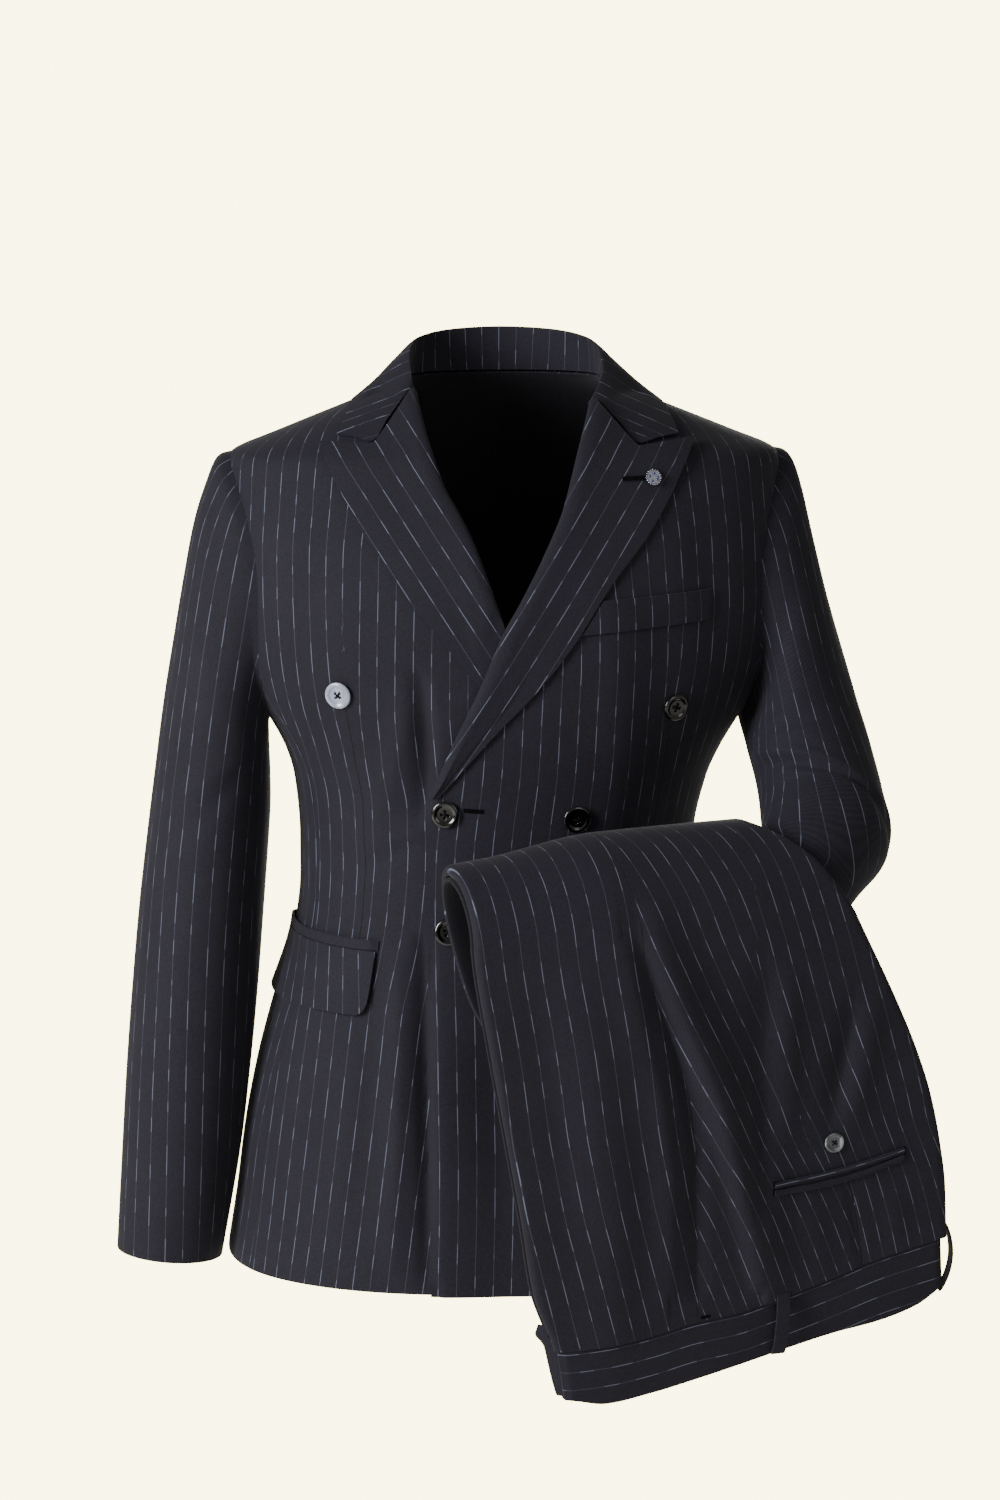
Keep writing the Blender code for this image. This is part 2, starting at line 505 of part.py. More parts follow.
def collar_rows():
    """The rows of the top collar from right to left, each foot, fold, middle and edge."""
    def front_row(points, surface):
        return [surface(np.array(x), np.array(z), np.array(lift)) for x, z, lift in points]

    def neck_row(row, side):
        foot = np.array([side * row[0], row[1], row[2]])
        fold = np.array([side * row[3], row[4], row[5]])
        middle = np.array([side * row[6], row[7], row[8]])
        return [foot, fold, middle, body(side * row[9], row[10], np.array(row[11]))]

    rows = [front_row(COLLAR_FRONT_RIGHT, right_front)]
    rows += [neck_row(row, -1) for row in COLLAR_HALF]
    rows.append(neck_row(COLLAR_BACK, 1))
    rows += [neck_row(row, 1) for row in COLLAR_HALF[::-1]]
    rows.append(front_row(COLLAR_FRONT_LEFT, left_front))
    return np.array(rows)


def collar(u, v):
    """u round the neck from right to left, v from the foot of the stand over the fold to the edge of the fall."""
    rows = spline(collar_rows().reshape(len(COLLAR_HALF) * 2 + 3, -1), u).reshape(*u.shape, 4, 3)
    foot, fold, middle, edge = (rows[..., i, :] for i in range(4))
    out = middle - fold
    out[..., 2] = 0
    out /= np.linalg.norm(out, axis=-1, keepdims=True)
    stand = foot + (fold - foot) * 0.78
    inner = stand - out * 0.0004
    outer = fold + (middle - fold) * 0.20 + out * 0.0016
    half = (middle + edge) / 2
    profile = np.stack([foot, (foot + inner) / 2, inner, fold, outer, (outer + middle) / 2, middle, half, edge], -2)
    n = profile.shape[-2] - 1
    t = np.clip(v, 0, 1) * n
    k = np.clip(np.floor(t).astype(int), 0, n - 1)
    f = (t - k)[..., None]
    pick = np.arange(u.size)
    flat = profile.reshape(-1, n + 1, 3)
    k = k.reshape(-1)
    a, b = flat[pick, k], flat[pick, k + 1]
    before, after = flat[pick, np.maximum(k - 1, 0)], flat[pick, np.minimum(k + 2, n)]
    f = f.reshape(-1, 1)
    made = 0.5 * (2 * a + (b - before) * f + (2 * before - 5 * a + 4 * b - after) * f**2
                  + (3 * a - before - 3 * b + after) * f**3)
    made = made.reshape(*u.shape, 3)
    fall = ease(4.0, 5.0, v * n)[..., None]
    return made + (push_out(made, COLLAR_CLEAR) - made) * fall


def armhole(turn, side):
    """The armhole edge, turn in radians from its top toward the front."""
    z = ARMHOLE_MID + ARMHOLE_HALF * np.cos(turn)
    point = body(side * (90 - ARMHOLE_ANGLE * np.sin(turn)), z)
    point[..., 0] += side * 2.6 * SEAM
    return point


def sleeve(turn, along, rings, side):
    """Sleeve surface: turn round it in degrees from the outer line toward the front, along from 0 to 1."""
    turn = np.radians(turn)
    ring = spline(rings, along)
    outer, inner = ring[..., 0:3], ring[..., 3:6]
    share = ring[..., 7:8]
    ahead = spline(rings, np.minimum(along + 0.02, 1))
    behind = spline(rings, np.maximum(along - 0.02, 0))
    tangent = (ahead[..., 0:3] + ahead[..., 3:6] - behind[..., 0:3] - behind[..., 3:6])
    half = (outer - inner) / 2
    depth_way = np.cross(tangent, half)
    depth_way /= np.linalg.norm(depth_way, axis=-1, keepdims=True)
    lower = ease(0.15, 0.45, along)[..., None]
    depth_way = depth_way * lower + np.array([0.0, -1.0, 0.0]) * (1 - lower)
    depth_way /= np.linalg.norm(depth_way, axis=-1, keepdims=True)
    middle = (outer + inner) / 2
    cos, sin = np.cos(turn)[..., None], np.sin(turn)[..., None]
    plain = middle + half * cos + depth_way * ring[..., 6:7] * sin
    first = np.asarray(rings[0], float)
    first_middle, first_half = (first[0:3] + first[3:6]) / 2, (first[0:3] - first[3:6]) / 2
    at_top = first_middle + first_half * cos + np.array([0.0, -1.0, 0.0]) * first[6] * sin
    mirrored = np.array([side, 1.0, 1.0])
    return (plain + share * (armhole(turn, side) * mirrored - at_top)) * mirrored


def sleeve_part(u, v, rings, side, first_turn, last_turn):
    gap = math.degrees(SEAM * 1.7 / 0.055)
    turn = first_turn + gap + (last_turn - first_turn - 2 * gap) * u
    return sleeve(turn, 1 - v, rings, side)


def pocket_lift(angle, z, side):
    x = side_x(side * angle, z)
    return (overlap_height(x, z) if side > 0 else 0.0) + fold_height(JACKET_FOLDS, x, z)


def flap(u, v, side):
    angle = FLAP_FRONT_ANGLE + (FLAP_BACK_ANGLE - FLAP_FRONT_ANGLE) * u
    run = (angle - FLAP_FRONT_ANGLE) * math.radians(1) * 0.165
    corner = np.clip(FLAP_CORNER - run, 0, FLAP_CORNER)
    bottom = FLAP_BOTTOM + FLAP_CORNER - np.sqrt(FLAP_CORNER**2 - corner**2)
    z = bottom + (FLAP_TOP - bottom) * v
    lift = FLAP_LIFT_BOTTOM + (FLAP_LIFT_TOP - FLAP_LIFT_BOTTOM) * v
    return body(side * angle, z, lift + pocket_lift(angle, z, side))


def jetting(u, v, side):
    angle = FLAP_FRONT_ANGLE - 1.5 + (FLAP_BACK_ANGLE - FLAP_FRONT_ANGLE + 3) * u
    z = JETTING_BOTTOM + (JETTING_TOP - JETTING_BOTTOM) * v
    return body(side * angle, z, JETTING_LIFT + pocket_lift(angle, z, side))


def breast_welt(u, v):
    corners = np.asarray(WELT_CORNERS)
    low = corners[0] + (corners[1] - corners[0]) * u[..., None]
    high = corners[3] + (corners[2] - corners[3]) * u[..., None]
    point = low + (high - low) * v[..., None]
    return left_front(point[..., 0], point[..., 1], np.full(u.shape, WELT_LIFT))


def beside_arm(h, q, z):
    """Point at h along the forearm, q in front of its axis."""
    c, s = math.cos(ARM_ANGLE), math.sin(ARM_ANGLE)
    return np.stack(np.broadcast_arrays(ARM_X + c * h + s * q, ARM_Y + s * h - c * q, z), -1)


def trouser_path(h, step, out, folded=1.0):
    """Drape over the forearm: step 0 at the waist, 1 to 2 over the arm, 3 at the turn behind, 4 to 5 back up.

    out is measured outward from the outer cloth, folded is 1 where the folds show and 0 inside.
    """
    axis = column(ARCH, 1, h)
    radius = column(ARCH, 2, h) + out
    top = column(BAND, 1, h) + 2 * SEAM
    front = np.clip(step, 0, 1)
    z_front = top + (axis - top) * front
    angle = np.radians(90 - 180 * np.clip(step - 1, 0, 1))
    down = np.clip(step - 2, 0, 1)
    turn = np.radians(180 * np.clip(step - 3, 0, 1))
    up = np.clip(step - 4, 0, 1)
    fold = folded * fold_height(TROUSER_FOLDS, h, z_front) * (1 - ease(0.9, 1.25, step))
    q = np.where(step < 1, radius + fold, (radius + fold) * np.sin(angle))
    z = np.where(step < 1, z_front, axis + radius * np.cos(angle))
    behind_z = axis + (BACK_BOTTOM - axis) * down
    q = np.where(step > 2, -radius + BACK_LEAN * ease(0.0, 1.0, down), q)
    z = np.where(step > 2, behind_z, z)
    turn_centre = -column(ARCH, 2, h) + BACK_LEAN + TURN_RADIUS
    arm = TURN_RADIUS + out
    q = np.where(step > 3, turn_centre - arm * np.cos(turn), q)
    z = np.where(step > 3, BACK_BOTTOM - arm * np.sin(turn), z)
    z = np.where(step > 4, BACK_BOTTOM + (TURN_TOP - BACK_BOTTOM) * up, z)
    return beside_arm(h, q, z)


def edge_at(step, h_guess, hang, behind):
    top = column(BAND, 1, h_guess)
    z = top + (column(ARCH, 1, h_guess) - top) * np.clip(step, 0, 1)
    return np.where(step < 1, column(hang, 1, z), column(behind, 1, step))


def trouser_panel(u, step, first, last, wrap_first, wrap_last):
    """Outer cloth between two edges given as (hang table, table behind); a wrapped edge turns round the layers."""
    start = edge_at(step, np.full(step.shape, -0.2), *first)
    end = edge_at(step, np.full(step.shape, 0.05), *last)
    seam_start = edge_at(step, np.full(step.shape, -0.10), *first)
    seam_end = edge_at(step, np.full(step.shape, -0.10), *last)
    start = start if wrap_first else seam_start + 1.5 * SEAM
    end = end if wrap_last else seam_end - 1.5 * SEAM
    wrap = EDGE_WRAP
    n = TROUSER_COLUMNS
    number = u * n
    h = start + (end - start) * u
    out = np.zeros(u.shape)
    if wrap_first:
        k = np.arange(len(wrap))
        inside = number <= len(wrap) - 1
        into = np.interp(number, k, [w[1] for w in wrap])
        rest = (number - len(wrap) + 1) / (n - len(wrap) + 1)
        h = np.where(inside, start + into, start + wrap[-1][1] + (end - start - wrap[-1][1]) * rest)
        out = np.where(inside, np.interp(number, k, [w[0] for w in wrap]), 0.0)
    if wrap_last:
        k = np.arange(len(wrap))
        back = n - number
        inside = back <= len(wrap) - 1
        into = np.interp(back, k, [w[1] for w in wrap])
        rest = (back - len(wrap) + 1) / (n - len(wrap) + 1)
        h = np.where(inside, end - into, end - wrap[-1][1] - (end - start - wrap[-1][1]) * rest)
        out = np.where(inside, np.interp(back, k, [w[0] for w in wrap]), 0.0)
    return trouser_path(h, step, out)


def panel_step(v):
    return np.interp(v, np.linspace(0, 1, len(PANEL_STEPS)), PANEL_STEPS)


def trouser_front(u, v):
    step = panel_step(1 - v)
    seam = (SIDE_SEAM, SIDE_SEAM_BACK)
    return trouser_panel(u, step, (HANG_LEFT, BACK_LEFT), seam, True, False)


def trouser_back(u, v):
    step = panel_step(1 - v)
    seam = (SIDE_SEAM, SIDE_SEAM_BACK)
    return trouser_panel(u, step, seam, (HANG_RIGHT, BACK_RIGHT), False, True)


def waistband(u, v, outer):
    """Half of the band from the centre front at the left to the centre back; v from its lower to its upper edge."""
    left = BAND_LEFT - (v - 0.5) * BAND_SLANT_LEFT
    right = BAND_RIGHT - (v - 0.5) * BAND_SLANT_RIGHT
    along = np.clip((u - BAND_END) / (1 - 2 * BAND_END), 0, 1)
    h = left + (right - left) * along
    near = np.minimum(along, 1 - along) * (right - left)
    square = np.clip(np.minimum(u, 1 - u) / BAND_END, 0, 1)
    swell = BAND_SQUARE * square + (1 - BAND_SQUARE) * ease(0, BAND_TURN, near)
    depth = BAND_DEPTH / 2
    out = BAND_PROUD - depth + (1 if outer else -1) * (SEAM + (depth - SEAM) * swell)
    bottom = column(BAND, 2, h)
    z = bottom + (column(BAND, 1, h) - bottom) * v
    return beside_arm(h, column(ARCH, 2, h) + out, z)


def on_hang(h, z, out):
    """Point in front of the hanging trousers."""
    return beside_arm(h, column(ARCH, 2, h) + fold_height(TROUSER_FOLDS, h, z) + out, z)


def belt_loop(u, v, place, z):
    """Strip bowed off the band: place is its h on the front, or left or right for the two ends of the band."""
    ends = isinstance(place, str)
    away = (LOOP_OFF_END if ends else LOOP_OFF) + LOOP_BOW * np.sin(np.pi * v) ** 0.6
    side = (u - 0.5) * LOOP_WIDTH
    height = z + (v - 0.5) * LOOP_LENGTH
    if place == "left":
        h = column(HANG_LEFT, 1, height) - away
        q = column(ARCH, 2, h) - BAND_DEPTH / 2 + side
    elif place == "right":
        h = column(HANG_RIGHT, 1, height) + away
        q = column(ARCH, 2, h) - BAND_DEPTH / 2 - side
    else:
        h = place + side + (v - 0.5) * LOOP_SLANT
        q = column(ARCH, 2, h) + away
    return beside_arm(h, q, height)


def pocket_jetting(u, v, upper):
    a, b = np.asarray(POCKET[0]), np.asarray(POCKET[1])
    point = a + (b - a) * u[..., None]
    start = SEAM * 1.5 if upper else -POCKET_JETTING - SEAM * 1.5
    bow = 0.0025 * np.sin(np.pi * u)
    z = point[..., 1] + start + POCKET_JETTING * v - bow
    return on_hang(point[..., 0], z, np.full(u.shape, POCKET_LIFT))


def sheet(name, place, across, along, wall, look, flip=False, edge=0.0):
    """Cloth piece: a grid laid by the place function, then given its wall on the inner side.

    edge is the width of a narrow column at both sides, which squares the cut edges of a curved piece.
    """
    mesh = bmesh.new()
    bmesh.ops.create_grid(mesh, x_segments=across, y_segments=along, size=0.5)
    mesh.verts.ensure_lookup_table()
    flat = np.array([vert.co[:] for vert in mesh.verts])
    u = flat[:, 0] + 0.5
    if edge:
        inner = np.linspace(0, 1, across - 1)
        columns = np.concatenate([[0, edge], inner[1:-1], [1 - edge, 1]])
        u = np.interp(u, np.linspace(0, 1, across + 1), columns)
    spots = place(u, flat[:, 1] + 0.5)
    for vert, spot in zip(mesh.verts, spots):
        vert.co = spot
    if flip:
        bmesh.ops.reverse_faces(mesh, faces=mesh.faces[:])
    data = bpy.data.meshes.new(name)
    mesh.to_mesh(data)
    mesh.free()
    data.materials.append(look)
    made = bpy.data.objects.new(name, data)
    suit.objects.link(made)
    shell = made.modifiers.new("cloth wall", "SOLIDIFY")
    shell.thickness = wall
    shell.offset = -1
    return made


def turned(name, profile, spot, way, look, steps=12):
    """Small round piece turned from a profile, its back at spot, facing along way."""
    mesh = bmesh.new()
    way = np.asarray(way, float)
    way /= np.linalg.norm(way)
    side = np.cross(way, [0.0, 0.0, 1.0])
    side /= np.linalg.norm(side)
    up = np.cross(side, way)
    rings = []
    for radius, height in profile:
        count = 1 if radius == 0 else steps
        ring = []
        for i in range(count):
            turn = 2 * math.pi * i / count
            ring.append(mesh.verts.new(spot + way * height
                                       + radius * (side * math.cos(turn) + up * math.sin(turn))))
        rings.append(ring)
    for low, high in zip(rings[:-1], rings[1:]):
        for i in range(steps):
            j = (i + 1) % steps
            corners = [low[i % len(low)], low[j % len(low)], high[j % len(high)], high[i % len(high)]]
            mesh.faces.new(list(dict.fromkeys(corners)))
    bmesh.ops.recalc_face_normals(mesh, faces=mesh.faces[:])
    data = bpy.data.meshes.new(name)
    mesh.to_mesh(data)
    mesh.free()
    data.materials.append(look)
    made = bpy.data.objects.new(name, data)
    suit.objects.link(made)
    return made


def inner_layers(name, look):
    """The trousers' other layers as one rounded slab along the drape, stepped like layers at its two edges."""
    lead = CORE_GAP + PANEL_WALL
    across = CORE_COLUMNS
    edge = CORE_EDGE
    mesh = bmesh.new()
    rings = []
    for step in CORE_STEPS:
        steps = np.array([float(step)])
        left = float(edge_at(steps, np.array([-0.2]), HANG_LEFT, BACK_LEFT)[0])
        right = float(edge_at(steps, np.array([0.05]), HANG_RIGHT, BACK_RIGHT)[0])
        h, depth = [], []
        for d, inset in edge[::-1]:
            h.append(left + inset)
            depth.append(d)
        inner_left, inner_right = left + edge[0][1], right - edge[0][1]
        for i in range(1, across):
            h.append(inner_left + (inner_right - inner_left) * i / across)
            depth.append(0.0)
        for d, inset in edge:
            h.append(right - inset)
            depth.append(d)
        back_left, back_right = left + edge[-1][1], right - edge[-1][1]
        for i in range(1, across):
            h.append(back_right + (back_left - back_right) * i / across)
            depth.append(edge[-1][0])
        h, depth = np.array(h), np.array(depth)
        spots = trouser_path(h, np.full(h.shape, float(step)), -lead - depth, 0.0)
        rings.append([mesh.verts.new(spot) for spot in spots])
    count = len(rings[0])
    for low, high in zip(rings[:-1], rings[1:]):
        for i in range(count):
            j = (i + 1) % count
            mesh.faces.new([low[i], low[j], high[j], high[i]])
    for ring in (rings[0], rings[-1]):
        n = len(edge)
        outer = ring[n:n + across - 1]
        inner = ring[2 * n + across - 1:][::-1]
        left_edge, right_edge = ring[:n][::-1], ring[n + across - 1:2 * n + across - 1]
        top = [left_edge[0]] + outer + [right_edge[0]]
        low = [left_edge[-1]] + inner + [right_edge[-1]]
        for i in range(across):
            mesh.faces.new([top[i], top[i + 1], low[i + 1], low[i]])
        mesh.faces.new(left_edge)
        mesh.faces.new(right_edge)
    bmesh.ops.recalc_face_normals(mesh, faces=mesh.faces[:])
    data = bpy.data.meshes.new(name)
    mesh.to_mesh(data)
    mesh.free()
    data.materials.append(look)
    made = bpy.data.objects.new(name, data)
    suit.objects.link(made)
    return made


def facing(surface, x, z):
    here = surface(np.array(x), np.array(z), np.array(0.0))
    there = surface(np.array(x), np.array(z), np.array(0.001))
    return (there - here) * 1000


# Jacket body
rows = len(ROWS) - 1
sheet("left_front", left_front_panel, 14, rows, WALL, CLOTH)
sheet("right_front", right_front_panel, 14, rows, WALL, CLOTH)
for side, name in ((1, "left"), (-1, "right")):
    sheet(name + "_side", lambda u, v, s=side: side_panel(u, v, s), 8, 14, WALL, CLOTH, edge=0.02)
    sheet(name + "_back", lambda u, v, s=side: back_panel(u, v, s), 9, rows, WALL, CLOTH)

# Lapels and collar
sheet("left_lapel", lambda u, v: lapel(u, v, LEFT_ROLL, LEFT_OUTER, LEFT_TOP, left_front, False),
      LAPEL_COLUMNS, 16, LAYER_WALL, CLOTH)
sheet("right_lapel", lambda u, v: lapel(u, v, RIGHT_ROLL, RIGHT_OUTER, RIGHT_TOP, right_front, True),
      LAPEL_COLUMNS, 16, LAYER_WALL, CLOTH, flip=True)
sheet("top_collar", collar, 24, 8, LAYER_WALL, CLOTH)

# Sleeves
for side, name, rings, count in ((-1, "right", STRAIGHT_SLEEVE, 15), (1, "left", BENT_SLEEVE, 22)):
    sheet(name + "_sleeve_top",
          lambda u, v, r=rings, s=side: sleeve_part(u, v, r, s, BACK_ARM_SEAM - 360, FRONT_ARM_SEAM),
          14, count, WALL, CLOTH, flip=side > 0, edge=0.008)
    sheet(name + "_sleeve_under",
          lambda u, v, r=rings, s=side: sleeve_part(u, v, r, s, FRONT_ARM_SEAM, BACK_ARM_SEAM),
          8, count, WALL, CLOTH, flip=side > 0, edge=0.02)

# Pockets of the jacket
for side, name in ((1, "left"), (-1, "right")):
    sheet(name + "_hip_flap", lambda u, v, s=side: flap(u, v, s), 10, 3, WALL, CLOTH, flip=side < 0)
    sheet(name + "_hip_jetting", lambda u, v, s=side: jetting(u, v, s), 8, 1, 0.0022, CLOTH, flip=side < 0)
sheet("breast_welt", breast_welt, 6, 2, 0.0020, CLOTH)

# Buttons and pin
for name, (x, z, on_left) in BUTTONS.items():
    surface = left_front if on_left else right_front
    way = facing(surface, x, z)
    lift = 0.0004
    turned(name, BUTTON_PROFILE, surface(np.array(x), np.array(z), np.array(lift)), way,
           PALE_BUTTON if name == "button_top_right" else DARK_BUTTON)
turned("lapel_pin", PIN_PROFILE, left_front(np.array(PIN_X), np.array(PIN_HEIGHT), np.array(LAPEL_FLAT + 0.0020)),
       facing(left_front, PIN_X, PIN_HEIGHT), SILVER)

# Trousers
steps = len(PANEL_STEPS) - 1
sheet("trouser_front", trouser_front, TROUSER_COLUMNS, steps, PANEL_WALL, CLOTH)
sheet("trouser_back", trouser_back, TROUSER_COLUMNS, steps, PANEL_WALL, CLOTH)
inner_layers("trouser_inner_layers", HIDDEN)
sheet("waistband_left_half", lambda u, v: waistband(u, v, True), 20, 2, BAND_WALL, CLOTH,
      edge=BAND_END)
sheet("waistband_right_half", lambda u, v: waistband(u, v, False), 20, 2, BAND_WALL, CLOTH,
      flip=True, edge=BAND_END)
sheet("belt_loop_side", lambda u, v: belt_loop(u, v, -0.0340, -0.7105), 1, 6, LAYER_WALL, CLOTH)
sheet("belt_loop_front", lambda u, v: belt_loop(u, v, "left", -0.7230), 1, 6, LAYER_WALL, CLOTH)
sheet("belt_loop_back", lambda u, v: belt_loop(u, v, "right", -0.6680), 1, 6, LAYER_WALL, CLOTH)
sheet("pocket_jetting_upper", lambda u, v: pocket_jetting(u, v, True), 8, 1, 0.0018, CLOTH)
sheet("pocket_jetting_lower", lambda u, v: pocket_jetting(u, v, False), 8, 1, 0.0018, CLOTH)
spot = on_hang(np.array(POCKET_BUTTON[0]), np.array(POCKET_BUTTON[1]), np.array(0.0018))
turned("pocket_button", [(r * 0.74, h * 0.8) for r, h in BUTTON_PROFILE], spot,
       (math.sin(ARM_ANGLE), -math.cos(ARM_ANGLE), 0.0), DARK_BUTTON)
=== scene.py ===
# %% [markdown]
# # A striped double-breasted suit, dressed over its CAD solids
#
# The object is a jacket with peak lapels in its worn shape, and the matching trousers, laid over its bent left sleeve.
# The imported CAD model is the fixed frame. Each cloth solid is replaced by a thin shell on the same form, with more
# folds, a striped twill, stitches and rounded edges. Everything is in metres, +Z is up and the front faces -Y.

# %% Load the frame
import math

import bmesh
import bpy
import numpy as np
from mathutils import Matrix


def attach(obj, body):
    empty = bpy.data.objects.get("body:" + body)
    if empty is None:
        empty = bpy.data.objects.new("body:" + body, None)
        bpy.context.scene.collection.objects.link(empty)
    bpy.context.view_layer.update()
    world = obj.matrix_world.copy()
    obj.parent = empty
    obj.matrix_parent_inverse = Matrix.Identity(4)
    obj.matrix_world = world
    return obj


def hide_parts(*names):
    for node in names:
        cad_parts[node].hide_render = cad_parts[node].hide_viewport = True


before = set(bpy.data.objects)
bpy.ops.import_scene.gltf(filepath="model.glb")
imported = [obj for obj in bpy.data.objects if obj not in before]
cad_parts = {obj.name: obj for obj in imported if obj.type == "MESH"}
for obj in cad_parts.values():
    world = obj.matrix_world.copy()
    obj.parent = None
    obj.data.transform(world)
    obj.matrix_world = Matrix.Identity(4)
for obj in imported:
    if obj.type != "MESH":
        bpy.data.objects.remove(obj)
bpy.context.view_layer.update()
print("solids:", len(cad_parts))

# %% [markdown]
# ## Camera, floor and light
#
# The photograph was taken with a long lens from slightly above and a little to one side, so lines stay nearly
# parallel. The jacket hangs well above a pale floor that has no edge in view. A big soft light stands front left, a
# weaker one front right, one behind for the back, and the pale room fills the rest.

# %% Camera
CAMERA_PLACE = (-0.2375, -3.3506, 0.2998)
TURN, TILT = math.radians(-4.0), math.radians(10.0)
FILM, LENS = 36.0, 100.8        # millimetres
VIEW_DEPTH = 200.0


def add_object(name, data):
    made = bpy.data.objects.new(name, data)
    bpy.context.scene.collection.objects.link(made)
    return made


camera = add_object("camera", bpy.data.cameras.new("camera"))
camera.location = CAMERA_PLACE
camera.rotation_euler = (math.pi / 2 - TILT, 0.0, TURN)
camera.data.sensor_width, camera.data.lens, camera.data.clip_end = FILM, LENS, VIEW_DEPTH
bpy.context.scene.camera = camera
print("camera lens:", LENS, "mm")


# %% Colours, materials and nodes
def linear(hex_colour):
    """An sRGB hex colour as the linear red, green, blue and alpha that shaders work with."""
    values = [int(hex_colour[i:i + 2], 16) / 255 for i in (1, 3, 5)]
    return (*(v / 12.92 if v <= 0.04045 else ((v + 0.055) / 1.055) ** 2.4 for v in values), 1.0)


def new_material(name):
    made = bpy.data.materials.new(name)
    made.use_nodes = True
    return made, made.node_tree, made.node_tree.nodes["Principled BSDF"]


def finish(shader, **values):
    """Sets constants on the shader's own sockets, by name."""
    for name, value in values.items():
        shader.inputs[name.replace("_", " ")].default_value = value


def node(tree, kind, settings=None, **links):
    """Adds one node. Settings are its properties; links are its inputs, by name or i0, i1, as sockets or values."""
    made = tree.nodes.new(kind)
    for key, value in (settings or {}).items():
        setattr(made, key, value)
    for key, value in links.items():
        numbered = key[0] == "i" and key[1:].isdigit()
        socket = made.inputs[int(key[1:]) if numbered else key.replace("_", " ")]
        if isinstance(value, bpy.types.NodeSocket):
            tree.links.new(value, socket)
        else:
            socket.default_value = value
    return made


# %% Floor and room
FLOOR_HEIGHT, FLOOR_HALF = -1.45, 60.0
# The backdrop is overexposed in the picture, as paper is in a studio, and yet it hardly lights the dark cloth. So
# the camera sees a brighter paper than the light bounces off.
PAPER = "#f8f5ec"
PAPER_GLOW, PAPER_SEEN = "#fff3b8", 9.0
ROOM_LIGHT = 0.31
floor_paint, tree, shader = new_material("matt paper backdrop")
finish(shader, Base_Color=linear(PAPER), Roughness=0.9, Specular_IOR_Level=0.0)
seen = node(tree, "ShaderNodeLightPath").outputs["Is Camera Ray"]
glow = node(tree, "ShaderNodeEmission", Color=linear(PAPER_GLOW), Strength=PAPER_SEEN)
paper = node(tree, "ShaderNodeMixShader", i0=seen, i1=shader.outputs[0], i2=glow.outputs[0])
tree.links.new(paper.outputs[0], tree.nodes["Material Output"].inputs["Surface"])
corners = [(x * FLOOR_HALF, y * FLOOR_HALF, FLOOR_HEIGHT) for x, y in ((-1, -1), (1, -1), (1, 1), (-1, 1))]
floor_mesh = bpy.data.meshes.new("floor")
floor_mesh.from_pydata(corners, [], [(0, 1, 2, 3)])
floor_mesh.materials.append(floor_paint)
floor = add_object("floor", floor_mesh)

room = bpy.data.worlds.new("pale room")
room.use_nodes = True
tree = room.node_tree
seen = node(tree, "ShaderNodeLightPath").outputs["Is Camera Ray"]
walls = node(tree, "ShaderNodeBackground", Color=linear(PAPER), Strength=ROOM_LIGHT)
paper = node(tree, "ShaderNodeBackground", Color=linear(PAPER_GLOW), Strength=PAPER_SEEN)
both = node(tree, "ShaderNodeMixShader", i0=seen, i1=walls.outputs[0], i2=paper.outputs[0])
tree.links.new(both.outputs[0], tree.nodes["World Output"].inputs["Surface"])
bpy.context.scene.world = room
print("floor at", FLOOR_HEIGHT)

# %% Soft lights
# name, place, aim, size in metres, power in watts
LIGHTS = [
    ("key softbox", (-3.0, -2.0, 0.8), (0.0, 0.0, -0.35), (1.3, 2.0), 212.0),
    ("fill softbox", (1.6, -3.0, 0.7), (0.1, 0.0, -0.35), (1.2, 2.0), 13.0),
    ("back softbox", (0.8, 3.0, -0.2), (0.0, 0.0, -0.35), (1.6, 1.6), 70.0),
]
for name, place, aim, size, power in LIGHTS:
    lamp = bpy.data.lights.new(name, "AREA")
    lamp.shape = "RECTANGLE"
    lamp.size, lamp.size_y = size
    lamp.energy = power
    way = np.array(aim) - np.array(place)
    way /= np.linalg.norm(way)
    softbox = add_object(name, lamp)
    softbox.location = place
    softbox.rotation_euler = (math.acos(-way[2]), 0.0, math.atan2(way[1], way[0]) - math.pi / 2)
print("lights:", len(LIGHTS))

# %% [markdown]
# ## Materials
#
# Worsted wool twill for a dark suit: fine diagonal ribs, a matt surface with a little sheen where it turns away, and
# thin pale stripes woven from single threads that come and go along their length. The pattern follows the cloth, so
# each piece carries a UV map in metres: U runs across the stripes and V along them. Inside, the cloth is plain.

# %% Wool
STRIPE_PITCH = 0.0143      # from one stripe to the next
STRIPE_HALF = 0.00014      # half width of the pale thread
STRIPE_SOFT = 0.00015      # it fades out over twice this on either side
DASH_LENGTH = 0.026        # the thread shows, then sinks, over about this length
DASH_FROM, DASH_TO = 0.50, 0.54
FAINT = 0.25               # how much of a sunken thread still shows
STRIPE_SHIFT = 17.3        # so that no two stripes break at the same height
# The near-black line along a sewn dart is painted shade of the seam's groove: its half width, colour and strength
# follow.
SEAM_SHADE_HALF = 0.00035       # half width of the dark line where a dart is sewn
SEAM_SHADE_COLOUR, SEAM_SHADE_SHARE = "#040406", 0.85
TWILL_PITCH = 0.0019       # real twill ribs are 0.5 mm apart, too fine to show here, so they are drawn coarser
TWILL_LEAN = 0.62          # rise of the ribs
CLOUD_SCALE = 14.0         # soft patches of tone, about 7 cm across
FUZZ_SCALE = 620.0         # loose fibres are 0.02 mm thick, so their mottle is drawn coarser, at 1.6 mm
UV_NAME = "cloth"


